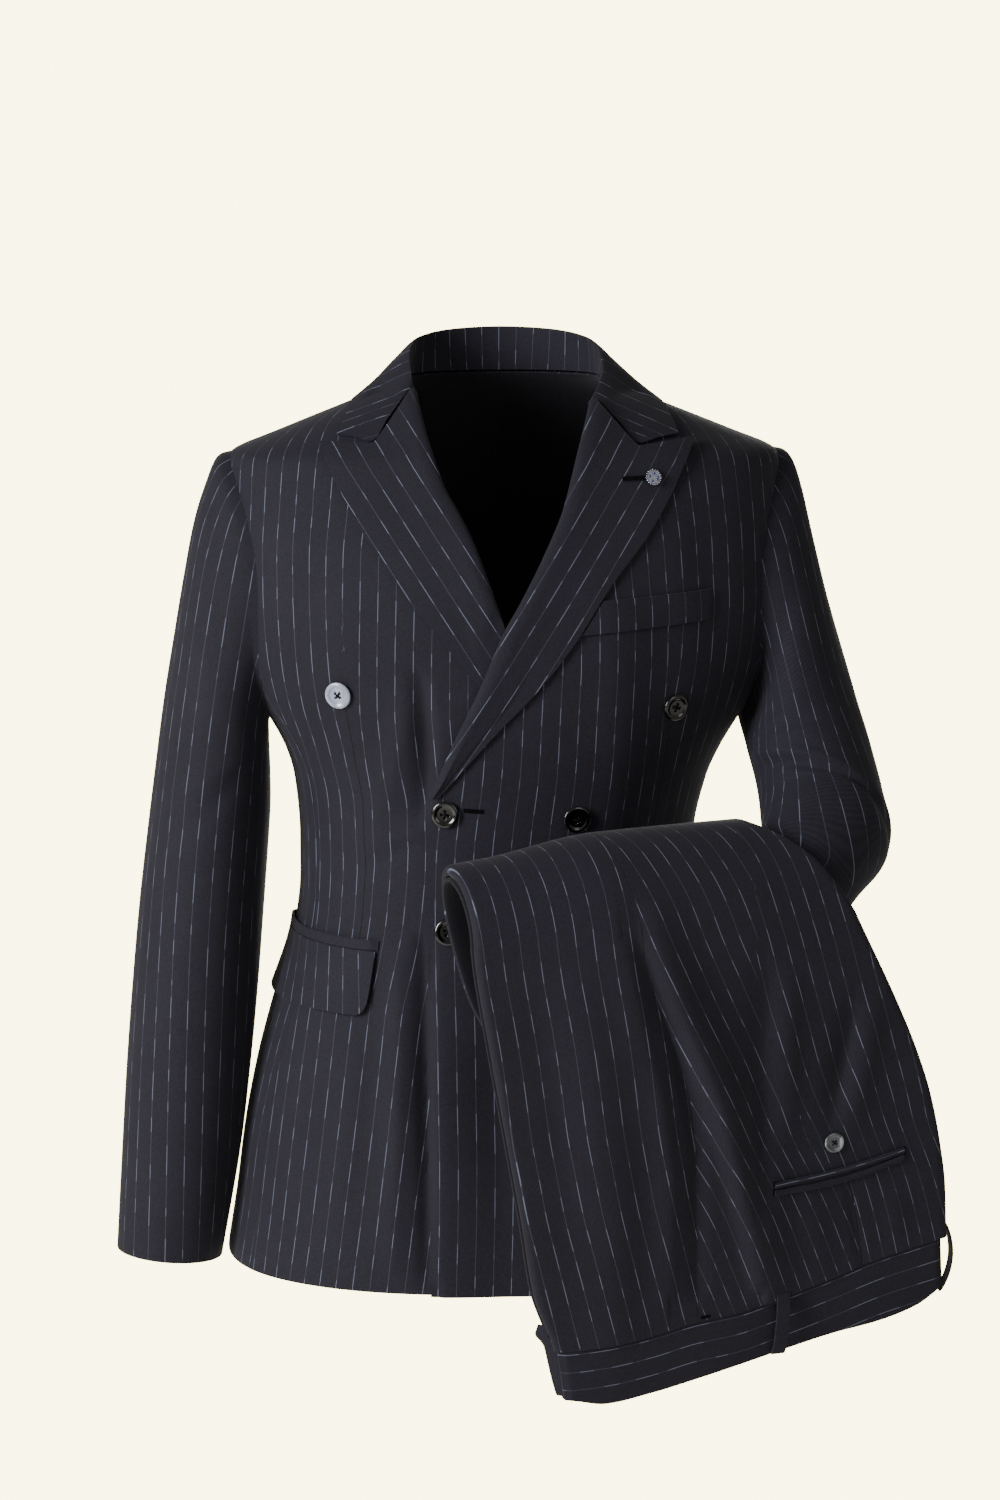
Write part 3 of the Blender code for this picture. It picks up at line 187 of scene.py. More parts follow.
def wool(name, dark, light, stripe=None):
    """Worsted twill from the hex colours of its two threads, and of the pale stripe thread where it has one."""
    made, tree, shader = new_material(name)
    place = node(tree, "ShaderNodeUVMap", {"uv_map": UV_NAME})
    split = node(tree, "ShaderNodeSeparateXYZ", i0=place.outputs[0])
    across, along = split.outputs[0], split.outputs[1]
    lean = node(tree, "ShaderNodeMath", {"operation": "MULTIPLY_ADD"}, i0=along, i1=TWILL_LEAN, i2=across)
    count = node(tree, "ShaderNodeMath", {"operation": "MULTIPLY"}, i0=lean.outputs[0], i1=1 / TWILL_PITCH)
    rib = node(tree, "ShaderNodeMath", {"operation": "PINGPONG"}, i0=count.outputs[0], i1=0.5).outputs[0]
    shown = node(tree, "ShaderNodeTexCoord").outputs["Object"]
    cloud = node(tree, "ShaderNodeTexNoise", Vector=shown, Scale=CLOUD_SCALE, Detail=3.0, Roughness=0.5)
    fuzz = node(tree, "ShaderNodeTexNoise", Vector=shown, Scale=FUZZ_SCALE, Detail=3.0, Roughness=0.75).outputs[0]
    # tone = 0.6 rib + 1.1 fuzz + 0.35 cloud
    soft_rib = node(tree, "ShaderNodeMath", {"operation": "MULTIPLY"}, i0=rib, i1=0.6)
    mixed = node(tree, "ShaderNodeMath", {"operation": "MULTIPLY_ADD"}, i0=fuzz, i1=1.1, i2=soft_rib.outputs[0])
    tone = node(tree, "ShaderNodeMath", {"operation": "MULTIPLY_ADD"}, i0=cloud.outputs[0], i1=0.35,
                i2=mixed.outputs[0])
    level = node(tree, "ShaderNodeMapRange", i0=tone.outputs[0], i1=0.35, i2=1.15)
    colour = node(tree, "ShaderNodeMix", {"data_type": "RGBA"}, i0=level.outputs[0], i6=linear(dark),
                  i7=linear(light)).outputs[2]
    if stripe:
        number = node(tree, "ShaderNodeMath", {"operation": "MULTIPLY"}, i0=across, i1=1 / STRIPE_PITCH)
        nearest = node(tree, "ShaderNodeMath", {"operation": "ROUND"}, i0=number.outputs[0])
        off = node(tree, "ShaderNodeMath", {"operation": "SUBTRACT"}, i0=number.outputs[0], i1=nearest.outputs[0])
        away = node(tree, "ShaderNodeMath", {"operation": "ABSOLUTE"}, i0=off.outputs[0])
        line = node(tree, "ShaderNodeMapRange", {"interpolation_type": "SMOOTHSTEP"}, i0=away.outputs[0],
                    i1=STRIPE_HALF / STRIPE_PITCH, i2=(STRIPE_HALF + 2 * STRIPE_SOFT) / STRIPE_PITCH, i3=1.0, i4=0.0)
        length = node(tree, "ShaderNodeMath", {"operation": "MULTIPLY"}, i0=along, i1=1 / DASH_LENGTH)
        place = node(tree, "ShaderNodeMath", {"operation": "MULTIPLY_ADD"}, i0=nearest.outputs[0], i1=STRIPE_SHIFT,
                     i2=length.outputs[0])
        wave = node(tree, "ShaderNodeTexNoise", {"noise_dimensions": "1D"}, W=place.outputs[0], Scale=1.0, Detail=0.0)
        dash = node(tree, "ShaderNodeMapRange", {"interpolation_type": "SMOOTHSTEP"}, i0=wave.outputs[0],
                    i1=DASH_FROM, i2=DASH_TO, i3=FAINT, i4=1.0)
        thread = node(tree, "ShaderNodeMath", {"operation": "MULTIPLY"}, i0=line.outputs[0], i1=dash.outputs[0])
        colour = node(tree, "ShaderNodeMix", {"data_type": "RGBA"}, i0=thread.outputs[0], i6=colour,
                      i7=linear(stripe)).outputs[2]
        # Along the sewn darts the colour goes toward near-black: painted shade of the seam's groove.
        dart = node(tree, "ShaderNodeAttribute", {"attribute_name": "seam"})
        off_dart = node(tree, "ShaderNodeMath", {"operation": "ABSOLUTE"}, i0=dart.outputs["Fac"])
        sewn = node(tree, "ShaderNodeMapRange", {"interpolation_type": "SMOOTHSTEP"}, i0=off_dart.outputs[0],
                    i1=SEAM_SHADE_HALF / 2, i2=SEAM_SHADE_HALF * 2, i3=SEAM_SHADE_SHARE, i4=0.0)
        colour = node(tree, "ShaderNodeMix", {"data_type": "RGBA"}, i0=sewn.outputs[0], i6=colour,
                      i7=linear(SEAM_SHADE_COLOUR)).outputs[2]
    tree.links.new(colour, shader.inputs["Base Color"])
    finish(shader, Roughness=0.82, Specular_IOR_Level=0.22, Sheen_Weight=0.05, Sheen_Roughness=0.45)
    height = node(tree, "ShaderNodeMath", {"operation": "MULTIPLY_ADD"}, i0=fuzz, i1=0.6, i2=rib)
    bump = node(tree, "ShaderNodeBump", Strength=0.22, Distance=0.00025, Height=height.outputs[0])
    tree.links.new(bump.outputs[0], shader.inputs["Normal"])
    return made


# The weave gives the eye soft diagonal ribs; the matt nap hides them at a distance and lifts the edges a little
WOOL = wool("worsted wool twill, striped", "#09080e", "#22202b", "#5d6273")
INNER = wool("plain dark twill, inner face", "#09080d", "#1b1a23")
print("wool stripes every", STRIPE_PITCH * 1000, "mm")

# %% [markdown]
# ## The shape of the body
#
# The jacket hangs on a row of oval sections, from the hem to the neck. A point of it is given by its angle round the
# body and its height, so every panel, lapel, pocket and button is placed in the same two numbers.

# %% Curves through small tables


def curve_through(xs, ys, at):
    """Smooth curve through the points of a table, without overshoot."""
    xs, ys = np.asarray(xs, float), np.asarray(ys, float)
    if xs[0] > xs[-1]:
        xs, ys = xs[::-1], ys[::-1]
    at = np.clip(np.asarray(at, float), xs[0], xs[-1])
    step = np.diff(xs)
    rise = np.diff(ys) / step
    slope = np.zeros(len(xs))
    slope[0], slope[-1] = rise[0], rise[-1]
    both = rise[:-1] + rise[1:]
    same = rise[:-1] * rise[1:] > 0
    slope[1:-1] = np.where(same, 2 * rise[:-1] * rise[1:] / np.where(same, both, 1.0), 0.0)
    k = np.clip(np.searchsorted(xs, at, side="right") - 1, 0, len(step) - 1)
    t = (at - xs[k]) / step[k]
    return ((2 * t**3 - 3 * t**2 + 1) * ys[k] + (t**3 - 2 * t**2 + t) * step[k] * slope[k]
            + (3 * t**2 - 2 * t**3) * ys[k + 1] + (t**3 - t**2) * step[k] * slope[k + 1])


def column(table, k, at):
    """Column k of a table, read by its first column."""
    return curve_through([row[0] for row in table], [row[k] for row in table], at)


def between(before, a, b, after, f):
    """The smooth curve from a to b at share f, given its points before and after them."""
    return 0.5 * (2 * a + (b - before) * f + (2 * before - 5 * a + 4 * b - after) * f**2
                  + (3 * a - before - 3 * b + after) * f**3)


def spline(points, t):
    """Smooth curve through points, evenly from one to the next as t goes from 0 to 1."""
    points, last = np.asarray(points, float), len(points) - 1
    t = np.clip(np.asarray(t, float), 0, 1) * last
    k = np.clip(np.floor(t).astype(int), 0, last - 1)
    return between(points[np.maximum(k - 1, 0)], points[k], points[k + 1], points[np.minimum(k + 2, last)],
                   (t - k)[..., None])


def by_length(points, t):
    """Point of a polyline at a share t of its length."""
    points = np.asarray(points, float)
    run = np.concatenate([[0], np.cumsum(np.linalg.norm(np.diff(points, axis=0), axis=1))])
    t = np.asarray(t, float) * run[-1]
    return np.stack([np.interp(t, run, points[:, i]) for i in range(points.shape[1])], -1)


def ease(low, high, value):
    """Smooth step from 0 at low to 1 at high."""
    t = np.clip((value - low) / (high - low), 0, 1)
    return t * t * (3 - 2 * t)


FOLD_REACH = 2.6          # beyond this many widths a fold is gone
FOLD_END, FOLD_FADE = 0.12, 0.7      # where on half a wave a fold starts and ends, and how fully it keeps its depth


def fold_height(folds, x, z):
    """Sum of the soft ridges and troughs of a table at x, z. A row is path, width, depth and, if its two sides
    differ, the width on the other side."""
    x, z = np.broadcast_arrays(np.asarray(x, float), np.asarray(z, float))
    total = np.zeros(x.shape)
    for path, width, depth, *other in folds:
        path = np.asarray(path)
        reach = FOLD_REACH * max([width, *other])
        near = ((x > path[:, 0].min() - reach) & (x < path[:, 0].max() + reach)
                & (z > path[:, 1].min() - reach) & (z < path[:, 1].max() + reach))
        if not near.any():
            continue
        px, pz = x[near], z[near]
        nearest = np.full(px.shape, 1e3)
        along = np.zeros(px.shape)
        side = np.ones(px.shape)
        for i, (a, b) in enumerate(zip(path[:-1], path[1:])):
            d = b - a
            t = np.clip(((px - a[0]) * d[0] + (pz - a[1]) * d[1]) / (d @ d), 0, 1)
            gap = np.hypot(px - a[0] - t * d[0], pz - a[1] - t * d[1])
            closer = gap < nearest
            nearest = np.where(closer, gap, nearest)
            along = np.where(closer, (i + t) / (len(path) - 1), along)
            side = np.where(closer, np.sign(d[0] * (pz - a[1]) - d[1] * (px - a[0])), side)
        wide = np.where(side < 0, other[0], width) if other else width
        rise = np.sin(np.pi * (FOLD_END + (1 - 2 * FOLD_END) * along)) ** FOLD_FADE
        total[near] += depth * np.exp(-(nearest / wide) ** 2) * rise
    return total


# %% Sections of the jacket body
WALL = 0.0020             # cloth, canvas and lining together
LAYER_WALL = 0.0016       # lapels and collar
OVERLAP = 0.0062          # how far the upper front stands off the under one where they lap
ROUNDNESS = 2.3           # 2 is an ellipse, more is squarer
# height, half width, front depth, back depth, sideways shift
BODY = [
    (-0.704, 0.2280, -0.155, 0.133, 0.000),
    (-0.660, 0.2210, -0.152, 0.132, 0.000),
    (-0.600, 0.2120, -0.148, 0.129, -0.001),
    (-0.548, 0.2010, -0.143, 0.125, -0.002),
    (-0.498, 0.1870, -0.138, 0.119, -0.003),
    (-0.435, 0.1660, -0.130, 0.106, -0.005),
    (-0.390, 0.1600, -0.125, 0.097, -0.006),
    (-0.360, 0.1600, -0.124, 0.096, -0.006),
    (-0.311, 0.1670, -0.126, 0.101, -0.003),
    (-0.286, 0.1760, -0.128, 0.106, -0.001),
    (-0.262, 0.1895, -0.130, 0.111, 0.000),
    (-0.235, 0.2065, -0.132, 0.116, 0.000),
    (-0.200, 0.2205, -0.133, 0.119, 0.000),
    (-0.160, 0.2255, -0.130, 0.120, 0.000),
    (-0.100, 0.2255, -0.118, 0.112, 0.000),
    (-0.060, 0.2235, -0.103, 0.099, 0.000),
    (-0.047, 0.2200, -0.098, 0.095, 0.000),
    (-0.037, 0.1950, -0.092, 0.090, 0.000),
    (-0.024, 0.1630, -0.084, 0.084, 0.000),
    (-0.011, 0.1300, -0.073, 0.077, 0.000),
    (-0.003, 0.1100, -0.067, 0.071, 0.000),
    (0.010, 0.0780, -0.055, 0.060, 0.000),
    (0.030, 0.0750, -0.052, 0.058, 0.000),
    (0.060, 0.0720, -0.050, 0.056, 0.000),
]
HEM = -0.704
NECK = 0.010
SHOULDER_TIP = -0.047
ROWS = [
    HEM, -0.650, -0.596, -0.544, -0.494, -0.450, -0.412, -0.374, -0.338, -0.304, -0.268, -0.2276, -0.196,
    -0.165, -0.136, -0.108, -0.082, -0.062, SHOULDER_TIP, -0.035, -0.022, -0.010, NECK,
]
# The sections are read every half millimetre from curves smoothed over a few millimetres
BODY_STEP = 0.0005
SMOOTH_OVER = 0.004
body_heights = np.arange(HEM - 0.03, 0.075, BODY_STEP)
half_kernel = int(3 * SMOOTH_OVER / BODY_STEP)
kernel = np.exp(-0.5 * (np.arange(-half_kernel, half_kernel + 1) * BODY_STEP / SMOOTH_OVER) ** 2)
kernel /= kernel.sum()
body_columns = [np.convolve(np.pad(column(BODY, k, body_heights), half_kernel, mode="edge"), kernel, mode="valid")
                for k in range(1, 5)]


def body_size(k, z):
    """Half width, front depth, back depth or shift (k from 1 to 4) of the body at height z."""
    return np.interp(z, body_heights, body_columns[k - 1])


def section(angle, z):
    """Point of the bare section, angle in radians."""
    s, c = np.sin(angle), np.cos(angle)
    reach = np.clip(1 - np.abs(s) ** ROUNDNESS, 0, 1) ** (1 / ROUNDNESS)
    y = np.where(c > 0, body_size(2, z), body_size(3, z)) * reach
    return np.stack(np.broadcast_arrays(body_size(4, z) + body_size(1, z) * s, y, z), -1)


def body(angle, z, lift=0.0):
    """Point of the jacket body: angle in degrees from the centre front, + to the wearer's left; lift outward."""
    angle, z = np.broadcast_arrays(np.radians(np.asarray(angle, float)), np.asarray(z, float))
    small, low = 0.004, 0.0015
    across = section(angle + small, z) - section(angle - small, z)
    up = section(angle, z + low) - section(angle, z - low)
    normal = np.cross(across, up)
    normal /= np.linalg.norm(normal, axis=-1, keepdims=True)
    return section(angle, z) + normal * np.asarray(lift, float)[..., None]


def angle_at(x, z):
    """The front's angle at a sideways place, and side_x the other way round."""
    return np.degrees(np.arcsin(np.clip((x - body_size(4, z)) / body_size(1, z), -0.9995, 0.9995)))


def side_x(angle, z):
    return body_size(4, z) + body_size(1, z) * np.sin(np.radians(angle))


GIRTH_STEPS = 48


def girth(angle, z):
    """Length along the section from the centre front to an angle, with its sign."""
    angle, z = np.broadcast_arrays(angle, z)
    share = np.linspace(0, 1, GIRTH_STEPS + 1).reshape(-1, *([1] * angle.ndim))
    line = section(np.radians(angle) * share, z + 0 * share)
    return np.sign(angle) * np.linalg.norm(np.diff(line, axis=0), axis=-1).sum(0)


# %% [markdown]
# ## From a grid of points to a piece of cloth
#
# A piece of cloth starts as one layer of points. A Solidify modifier gives it the wall of the real cloth, inward, and
# a small Bevel rounds the cut edges. The inner side is plain, so it takes the second material. Darts take a wedge of
# cloth away, so the stripes jump there: that is decided face by face, and a seam line is kept as an attribute.

# %% Cloth pieces
EDGE_ROUND = 0.0005
FAR = 1.0                 # seam value where no dart is near
sizes = {}


def grid(across, along):
    return np.meshgrid(np.linspace(0, 1, across + 1), np.linspace(0, 1, along + 1))


def run(spots, axis):
    """Running length of the grid along rows (axis 0) or across them (axis 1)."""
    step = np.linalg.norm(np.diff(spots, axis=axis), axis=-1)
    total = np.cumsum(step, axis=axis)
    return np.concatenate([np.zeros_like(np.take(spots, [0], axis)[..., 0]), total], axis)


def cloth_piece(name, spots, across, wall, intake=None, seam=None, flip=False,
                along=None, inner=INNER, outward=False, drawn=None, solid=True):
    """spots is the outer layer as [row, column, xyz]; across and along are the cloth's own coordinates there."""
    rows, columns = spots.shape[:2]
    number = np.arange(rows * columns).reshape(rows, columns)
    faces = np.stack([number[:-1, :-1], number[:-1, 1:], number[1:, 1:], number[1:, :-1]], -1).reshape(-1, 4)
    if flip:
        faces = faces[:, ::-1]
    mesh = bpy.data.meshes.new(name + "_cloth")
    mesh.from_pydata(spots.reshape(-1, 3).tolist(), [], faces.tolist())
    mesh.polygons.foreach_set("use_smooth", [True] * len(faces))
    corner_across = across.reshape(-1)[faces]
    if seam is not None:
        beyond = seam.reshape(-1)[faces].mean(1, keepdims=True) > 0
        corner_across = corner_across + np.where(beyond, intake.reshape(-1)[faces], 0.0)
    corner_along = (run(spots, 0) if along is None else along).reshape(-1)[faces]
    line = mesh.attributes.new("seam", "FLOAT", "POINT")
    line.data.foreach_set("value", (np.full(across.shape, FAR) if drawn is None else drawn).reshape(-1))
    layer = mesh.uv_layers.new(name=UV_NAME)
    layer.data.foreach_set("uv", np.stack([corner_across, corner_along], -1).reshape(-1))
    mesh.materials.append(WOOL)
    mesh.materials.append(inner)
    piece = add_object(name + "_cloth", mesh)
    shell = piece.modifiers.new("cloth wall", "SOLIDIFY")
    shell.thickness, shell.offset, shell.material_offset = wall, 1 if outward else -1, 1
    edge = piece.modifiers.new("soft cut edge", "BEVEL")
    edge.width, edge.segments, edge.limit_method, edge.angle_limit = EDGE_ROUND, 2, "ANGLE", math.radians(50)
    edge.harden_normals = True
    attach(piece, "root")
    if solid:
        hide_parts(name)
    width, length = run(spots, 1)[:, -1].max(), run(spots, 0)[-1].max()
    diagonals = spots[1:, 1:] - spots[:-1, :-1], spots[1:, :-1] - spots[:-1, 1:]
    area = 0.5 * np.linalg.norm(np.cross(*diagonals), axis=-1).sum()
    sizes[name] = width, length, area


def show_sizes(*names):
    for name in names:
        width, length, area = sizes[name]
        print(f"{name}: {width * 100:.1f} x {length * 100:.1f} cm, {area * 1e4:.0f} cm2")


# %% [markdown]
# ## Fronts, sides and backs
#
# The two fronts lap by about 14 cm at the middle, left over right. The waist is shaped by a long dart in each
# front and by the side and centre-back seams. The stripes were cut straight, so the darts and the seams bend them:
# each front has one guide stripe, measured round the body, and the rest run beside it. Soft troughs and ridges are
# placed one by one: the pull of the fastened button, the break beside the lapel's end, and the hang of the skirt.

# %% Edges, folds and stripe guides of the fronts
ARMHOLE_MID, ARMHOLE_HALF = -0.1545, 0.1075
ARMHOLE_ANGLE, SIDE_SEAM_ANGLE = 28.0, 22.0
# height, x
LEFT_EDGE = [
    (0.010, 0.0772), (0.001, 0.0705), (-0.006, 0.0660), (-0.045, 0.0530), (-0.085, 0.0410), (-0.122, 0.0240),
    (-0.152, 0.0080), (-0.180, -0.0080), (-0.222, -0.0260), (-0.261, -0.0440), (-0.298, -0.0590),
    (-0.312, -0.0660), (-0.332, -0.0680), (-0.704, -0.0680),
]
RIGHT_EDGE = [
    (0.010, -0.0772), (0.001, -0.0750), (-0.012, -0.0730), (-0.037, -0.0670), (-0.066, -0.0570), (-0.088, -0.0450),
    (-0.111, -0.0340), (-0.141, -0.0230), (-0.172, -0.0128), (-0.182, -0.0092), (-0.222, 0.0172), (-0.261, 0.0420),
    (-0.298, 0.0590), (-0.312, 0.0660), (-0.332, 0.0680), (-0.704, 0.0680),
]
# path of x, height; half width; depth outward; half width on the other side
JACKET_FOLDS = [
    ([(-0.074, -0.215), (-0.0705, -0.250), (-0.069, -0.285), (-0.0725, -0.318)], 0.006, -0.0058, 0.009),
    ([(-0.112, -0.335), (-0.098, -0.300), (-0.088, -0.262), (-0.084, -0.230)], 0.011, 0.0026),
    ([(-0.066, -0.345), (-0.090, -0.352), (-0.120, -0.372)], 0.006, -0.0012),
    ([(-0.060, -0.330), (-0.100, -0.345), (-0.140, -0.352)], 0.010, 0.0010),
    ([(-0.092, -0.440), (-0.0925, -0.520), (-0.095, -0.600), (-0.098, -0.680)], 0.009, 0.0034),
    ([(-0.061, -0.455), (-0.061, -0.560), (-0.061, -0.690)], 0.026, 0.0048, 0.0040),
    ([(-0.014, -0.470), (-0.012, -0.560), (-0.010, -0.690)], 0.018, -0.0028),
    ([(-0.112, -0.470), (-0.116, -0.560), (-0.124, -0.660)], 0.012, -0.0024),
    ([(-0.150, -0.520), (-0.158, -0.600), (-0.168, -0.680)], 0.018, -0.0022),
    ([(0.100, -0.330), (0.112, -0.380), (0.118, -0.450)], 0.016, -0.0020),
    ([(0.150, -0.100), (0.158, -0.150), (0.160, -0.200)], 0.018, -0.0022),
    ([(-0.150, -0.100), (-0.160, -0.150), (-0.164, -0.200)], 0.018, -0.0018),
    ([(0.075, -0.200), (0.085, -0.260), (0.088, -0.310)], 0.020, 0.0014),
    ([(-0.150, -0.240), (-0.140, -0.300), (-0.136, -0.380)], 0.016, -0.0012),
]
# the under layer drops away beside the upper layer's edge
UNDER_FOLDS = [([(-0.0715, -0.425), (-0.0715, -0.500), (-0.0712, -0.600), (-0.0710, -0.690)], 0.0050, -0.0064, 0.0070)]
# height, distance round the body from the centre front
RIGHT_GUIDE = [
    (0.020, -0.074), (-0.046, -0.083), (-0.083, -0.0875), (-0.121, -0.092), (-0.159, -0.0932), (-0.198, -0.0943),
    (-0.238, -0.0946), (-0.279, -0.091), (-0.319, -0.082), (-0.359, -0.079), (-0.399, -0.082), (-0.439, -0.0896),
    (-0.479, -0.1002), (-0.518, -0.1063), (-0.558, -0.1121), (-0.598, -0.1181), (-0.638, -0.1242),
    (-0.679, -0.1296), (-0.720, -0.135),
]
LEFT_GUIDE = [
    (0.020, 0.085), (-0.047, 0.0958), (-0.077, 0.0997), (-0.108, 0.1038), (-0.138, 0.1058), (-0.169, 0.1075),
    (-0.201, 0.1074), (-0.233, 0.1060), (-0.265, 0.1048), (-0.298, 0.1045), (-0.331, 0.1030), (-0.357, 0.1021),
    (-0.475, 0.0995), (-0.514, 0.0990), (-0.554, 0.0984), (-0.593, 0.0980), (-0.633, 0.0968), (-0.674, 0.0955),
    (-0.720, 0.094),
]
# height, width of the wedge that the dart takes away
DART = [(-0.155, 0.0), (-0.200, 0.0025), (-0.240, 0.006), (-0.280, 0.0095), (-0.330, 0.0115), (-0.360, 0.0125),
        (-0.440, 0.0143), (-0.720, 0.0143)]
DART_TOP, DART_END = -0.236, -0.428
RIGHT_DART_FROM_GUIDE = -0.0429
LEFT_DART_FROM_GUIDE = 0.0210


LAP_SIDE, LAP_TOP = (0.070, 0.125), (-0.190, -0.100)      # the upper front comes down to the body over these


def overlap_height(x, z):
    return OVERLAP * (1 - ease(*LAP_SIDE, x)) * (1 - ease(*LAP_TOP, z))


def right_front(x, z, lift=0.0):
    return body(angle_at(x, z), z, lift + fold_height(JACKET_FOLDS, x, z))


def left_front(x, z, lift=0.0):
    return right_front(x, z, lift + overlap_height(x, z))


def panel_edge(z):
    """How far from the side line a front or back ends, in degrees."""
    oval = ARMHOLE_ANGLE * np.sqrt(np.clip(1 - ((z - ARMHOLE_MID) / ARMHOLE_HALF) ** 2, 0, 1))
    corner = ARMHOLE_MID - ARMHOLE_HALF * math.sqrt(1 - (SIDE_SEAM_ANGLE / ARMHOLE_ANGLE) ** 2)
    return np.where(z < corner, SIDE_SEAM_ANGLE, np.where(z > SHOULDER_TIP, 0.0, oval))


def row_height(v):
    return np.interp(v, np.linspace(0, 1, len(ROWS)), ROWS)


def front_lines(angle, z, side):
    """Stripe place across a front, distance beyond its dart's line, and the cloth that the dart takes away."""
    from_guide = girth(angle, z) - column(LEFT_GUIDE if side > 0 else RIGHT_GUIDE, 1, z)
    intake = column(DART, 1, z)
    if side > 0:
        return from_guide, from_guide - LEFT_DART_FROM_GUIDE, intake
    return from_guide, -(from_guide - RIGHT_DART_FROM_GUIDE - intake / 2), -intake


def dart_line(seam, z):
    """The painted seam shade shows only between the dart's ends."""
    return np.where((z < DART_TOP) & (z > DART_END), seam, FAR)


# %% Fronts
FRONT_GRID = (100, 216)
u, v = grid(*FRONT_GRID)
z = row_height(v)
for side, name, folds, under in ((1, "left_front", JACKET_FOLDS, ["right_front"]),
                                 (-1, "right_front", JACKET_FOLDS + UNDER_FOLDS, [])):
    first, last = -90 + panel_edge(z), 90 - panel_edge(z)
    if side > 0:
        first = angle_at(column(LEFT_EDGE, 1, z), z)
    else:
        last = angle_at(column(RIGHT_EDGE, 1, z), z)
    angle = first + (last - first) * u
    x = side_x(angle, z)
    lap = overlap_height(x, z) if side > 0 else 0.0
    across, seam, intake = front_lines(angle, z, side)
    cloth_piece(name, body(angle, z, lap + fold_height(folds, x, z)), across, WALL, intake, seam,
                drawn=dart_line(seam, z))
show_sizes("left_front", "right_front")

# %% Backs and sides
BACK_GRID, SIDE_GRID = (52, 170), (40, 110)
SIDE_REACH = SIDE_SEAM_ANGLE - 0.1      # a third of a millimetre clear of its neighbours
u, v = grid(*BACK_GRID)
z = row_height(v)
for side, name in ((1, "left"), (-1, "right")):
    start = 90 + panel_edge(z)
    angle = start + (180.0 - start) * (u if side > 0 else 1 - u)
    across = girth(side * angle, z) - girth(side * 180.0, z) + STRIPE_PITCH / 2
    cloth_piece(name + "_back", body(side * angle, z), across, WALL)

u, v = grid(*SIDE_GRID)
for side, name in ((1, "left"), (-1, "right")):
    angle = 90 - SIDE_REACH + 2 * SIDE_REACH * u
    top = ARMHOLE_MID - ARMHOLE_HALF * np.sqrt(1 - ((angle - 90) / ARMHOLE_ANGLE) ** 2)
    z = HEM + (top - HEM) * v
    angle = angle if side > 0 else -(180 - angle)
    cloth_piece(name + "_side", body(angle, z), girth(angle, z) - girth(side * 90.0, z), WALL)
show_sizes("left_back", "right_back", "left_side", "right_side")

# %% [markdown]
# ## Lapels and collar
#
# A lapel is the turned-back upper front. It rolls over at the roll line, lies on the front and ends in a peak beside
# the collar's notch. The facing is cut with its stripes along the outer edge, so they run as slanting straight lines.
# The top collar is one band round the neck: a stand inside, a fold, and the fall outside.

# %% Lapels
LEFT_ROLL = [(0.066, -0.006), (0.053, -0.045), (0.041, -0.085), (0.024, -0.122), (0.008, -0.152), (-0.008, -0.180),
             (-0.026, -0.222), (-0.044, -0.261), (-0.0575, -0.294), (-0.0640, -0.3055)]
LEFT_OUTER = [(0.145, -0.034), (0.133, -0.054), (0.124, -0.073), (0.102, -0.107), (0.072, -0.144), (0.046, -0.183),
              (0.015, -0.222), (-0.013, -0.251), (-0.043, -0.286), (-0.0590, -0.3055)]
LEFT_TOP = [(0.066, -0.006), (0.098, -0.0385), (0.145, -0.034)]
RIGHT_ROLL = [(-0.075, 0.001), (-0.073, -0.012), (-0.067, -0.037), (-0.057, -0.066), (-0.045, -0.088),
              (-0.034, -0.111), (-0.023, -0.141), (-0.012, -0.172), (-0.008, -0.182), (0.018, -0.222),
              (0.042, -0.261), (0.059, -0.298), (0.0655, -0.311)]
RIGHT_OUTER = [(-0.148, -0.036), (-0.143, -0.052), (-0.132, -0.073), (-0.116, -0.102), (-0.090, -0.140),
               (-0.071, -0.166), (-0.059, -0.180), (-0.026, -0.222), (0.003, -0.251), (0.036, -0.286),
               (0.0605, -0.311)]
RIGHT_TOP = [(-0.075, 0.001), (-0.107, -0.0355), (-0.148, -0.036)]
# Across a lapel from behind the roll: distance from the roll line, height over the front
ROLL = [(-0.0032, -0.0018), (-0.0036, 0.0014), (-0.0016, 0.0042), (0.0045, 0.0054), (0.012, 0.0046), (0.022, 0.0036)]
LAPEL_FLAT, PEAK_LIFT = 0.0030, 0.0026
PEAK_FROM, PEAK_TO = -0.072, -0.046     # heights over which the peak comes off the chest
LAPEL_COLUMNS = 9
NOTCH_GAP = 0.0009
TIGHT_WIDTH = 0.034       # a narrower lapel rolls tighter
COVER_FROM, COVER_TO = 0.007, 0.025     # the under lapel's roll is flat this near to the upper front's edge
# two points that a stripe runs through
LEFT_LAPEL_STRIPE = ((0.1088, -0.0777), (-0.0096, -0.2605))
RIGHT_LAPEL_STRIPE = ((-0.1014, -0.0684), (-0.0234, -0.1900))


def smooth_line(points, t):
    """The smooth curve through a table's points, read by its length."""
    return by_length(spline(points, np.linspace(0, 1, 40 * len(points))), t)


